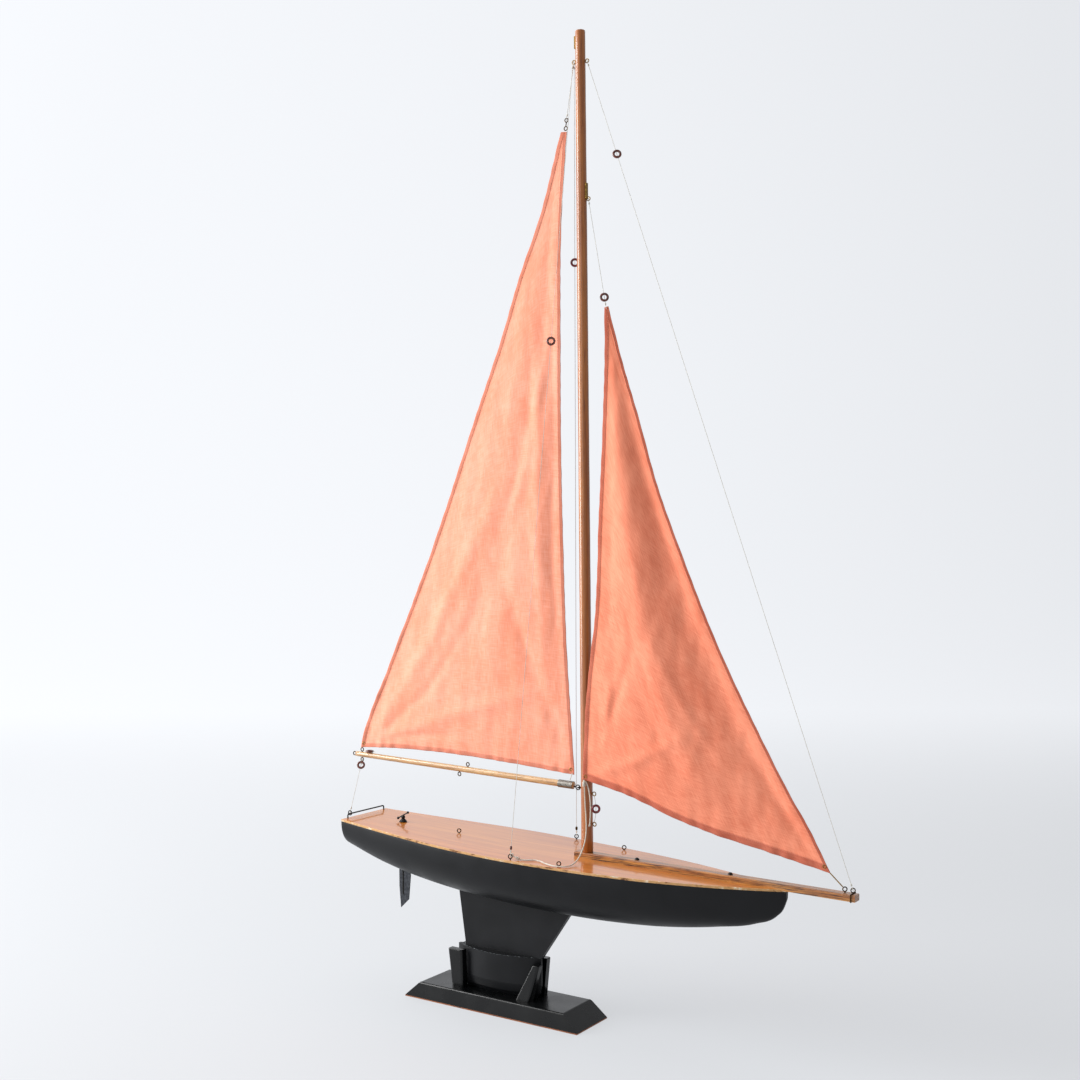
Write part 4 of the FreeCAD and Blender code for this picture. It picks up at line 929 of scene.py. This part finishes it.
def stitched(name, rows, body):
    """Rows of stitches along polylines (lists of points in millimetres), made into one plain mesh."""
    points, edges = [], []
    for row in rows:
        edges += [(len(points) + i, len(points) + i + 1) for i in range(len(row) - 1)]
        points += [tuple(float(c) * MM for c in p) for p in row]
    mesh = bpy.data.meshes.new(name + "_rows")
    mesh.from_pydata(points, edges, [])
    holder = bpy.data.objects.new(name + "_rows", mesh)
    bpy.context.scene.collection.objects.link(holder)
    work = holder.modifiers.new("stitches", "NODES")
    work.node_group = STITCHING
    sockets = {item.name: item.identifier for item in STITCHING.interface.items_tree
               if item.in_out == "INPUT"}
    work[sockets["Spacing"]] = STITCH_SPACING
    work[sockets["Thread"]] = SAIL_THREAD
    bpy.context.view_layer.update()
    found = bpy.data.meshes.new_from_object(holder.evaluated_get(bpy.context.evaluated_depsgraph_get()))
    bpy.data.objects.remove(holder)
    made = bpy.data.objects.new(name, found)
    bpy.context.scene.collection.objects.link(made)
    found.materials.clear()
    found.materials.append(SAIL_THREAD)
    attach(made, body)
    return made


def seam_rows(grid, normal, thick, maps, hems):
    """Stitch lines on both faces, just inside each hem's inner edge."""
    S, chord, rise = maps
    tall, wide = grid.shape[:2]
    luff, leech, foot = (STITCH_INSET * hem for hem in hems)
    rows = []
    for side in (1, -1):
        face = grid + side * normal * (thick[..., None] + 0.05)
        up, along = range(HEM_CORNER, tall - HEM_CORNER), range(HEM_CORNER, wide - HEM_CORNER)
        rows.append([face[i, int(np.argmin(abs(S[i] * chord[i] - luff)))] for i in up])
        rows.append([face[i, int(np.argmin(abs((1 - S[i]) * chord[i] - leech)))] for i in up])
        rows.append([face[int(np.argmin(abs(rise[:, j] - foot))), j] for j in along])
    return rows


main_seams = seam_rows(main_grid, main_normal, main_thick, main_maps, MAIN_HEMS)
jib_seams = seam_rows(jib_grid, jib_normal, jib_thick, jib_maps, JIB_HEMS)
main_stitches = stitched("mainsail_stitches", main_seams, "main_boom")
jib_stitches = stitched("jib_stitches", jib_seams, "jib")


def eyelets(name, spots, body, outer=2.6, inner=1.3):
    """Small brass eyelets: rolled rings on both faces of the cloth."""
    parts = []
    for place, way in spots:
        place, way = np.array(place, float), np.array(way, float)
        way /= np.linalg.norm(way)
        side = np.cross(way, (0.2, 0.3, 0.9))
        side /= np.linalg.norm(side)
        other = np.cross(way, side)
        middle, half = (outer + inner) / 2, (outer - inner) / 2
        points = []
        for k in range(28):
            a = 2 * math.pi * k / 28
            radial = side * math.cos(a) + other * math.sin(a)
            for m in range(12):
                b = 2 * math.pi * m / 12
                ring = radial * (middle + half * math.cos(b)) + way * (1.15 * math.sin(b))
                points.append(place + ring)
        faces = grid_faces(28, 12, True)
        faces += [(27 * 12 + m, 27 * 12 + (m + 1) % 12, (m + 1) % 12, m) for m in range(12)]
        parts.append((points, faces))
    made = joined(name, parts)
    outward(made)
    return dress(made, BRASS, body)


def spot(grid, normal, v, s):
    """Place and facing of the cloth at a share of its height and of its width."""
    i, j = int(v * (grid.shape[0] - 1)), int(s * (grid.shape[1] - 1))
    return grid[i, j], normal[i, j]


main_corners = [spot(main_grid, main_normal, 0.035, s) for s in (0.055, 0.955)]
jib_corners = [spot(jib_grid, jib_normal, 0.035, s) for s in (0.055, 0.95)]
main_eyelets = eyelets("mainsail_eyelets", main_corners, "main_boom")
jib_eyelets = eyelets("jib_eyelets", jib_corners, "jib")

# ---------------------------------------------------------------- floor and light
rows = []
for k in range(60):
    if k < 30:
        rows.append((-3000 + 6500 * k / 29, 0.0))
    else:
        a = (k - 29) / 30 * math.pi / 2
        rows.append((3500 + 1500 * math.sin(a), 1500 * (1 - math.cos(a))))
rows.append((5000, 6000))
wide = np.linspace(-6000, 6000, 9)
flat_ahead = np.array([ahead.x, ahead.y, 0]) / math.hypot(ahead.x, ahead.y)
flat_side = np.array([level.x, level.y, 0])
sweep_points = [flat_ahead * d + flat_side * w + np.array([0, 0, h - 0.05])
                for d, h in rows for w in wide]
floor = piece("studio_floor", sweep_points, grid_faces(len(rows), len(wide)))
# The paper throws no light back up: the sails and the hull are lit by the lamps and the surroundings alone.
floor.visible_diffuse = False
paper, tree, shader, place = finish("studio_paper_painted_glow", Roughness=0.9)
aside, back = (add(tree, "ShaderNodeVectorMath", {1: tuple(axis)}, {0: place}, operation="DOT_PRODUCT")
               .outputs["Value"] for axis in (flat_side, flat_ahead))
# Painted light: the paper glows, more further back and more towards the left, standing in for the lamps' spill
# on the backdrop.
far_glow_painted = remap(tree, back, 0.4, 4.0, 0.51, 0.77, interpolation_type="SMOOTHSTEP")
left_glow_painted = remap(tree, aside, -2.7, 2.7, 0.19, 0.0)
feed(tree, shader.inputs["Emission Strength"], reckoned(tree, "ADD", far_glow_painted, left_glow_painted))
shader.inputs["Emission Color"].default_value = colour("#F4F6FA")
tooth = noise(tree, place, 900.0, 2.0)
feed(tree, shader.inputs["Base Color"], ramp(tree, tooth, (0.3, "#6C6E70"), (0.7, "#707274")))
floor.data.materials.append(paper)
floor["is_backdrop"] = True

world = bpy.data.worlds.new("studio")
world.use_nodes = True
world.node_tree.nodes["Background"].inputs["Color"].default_value = colour("#F6F8FB")
world.node_tree.nodes["Background"].inputs["Strength"].default_value = 0.45
bpy.context.scene.world = world


def softbox(name, place, aim, width, height, watts):
    """White rectangular lamp at a place, turned to a point."""
    light = bpy.data.lights.new(name, "AREA")
    light.shape, light.size, light.size_y, light.energy = "RECTANGLE", width, height, watts
    holder = bpy.data.objects.new(name, light)
    place = Vector(place)
    turn = (Vector(aim) - place).to_track_quat("-Z", "Y").to_matrix().to_4x4()
    holder.matrix_world = Matrix.Translation(place) @ turn
    bpy.context.scene.collection.objects.link(holder)


def in_view(side, forward, height):
    """A place given from the model: to the camera's right, away from the camera, and up, in metres."""
    return Vector(flat_side) * side + Vector(flat_ahead) * forward + Vector((0, 0, height))


softbox("key_left", in_view(-2.7, 0.1, 1.4), (0, 0, 0.6), 1.2, 2.4, 130)
softbox("fill_front", in_view(-1.6, -2.6, 1.4), (0, 0, 0.5), 1.6, 1.6, 14)
softbox("over", in_view(-0.6, 0.6, 3.0), (0, 0, 0.3), 2.6, 2.6, 30)

low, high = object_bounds()
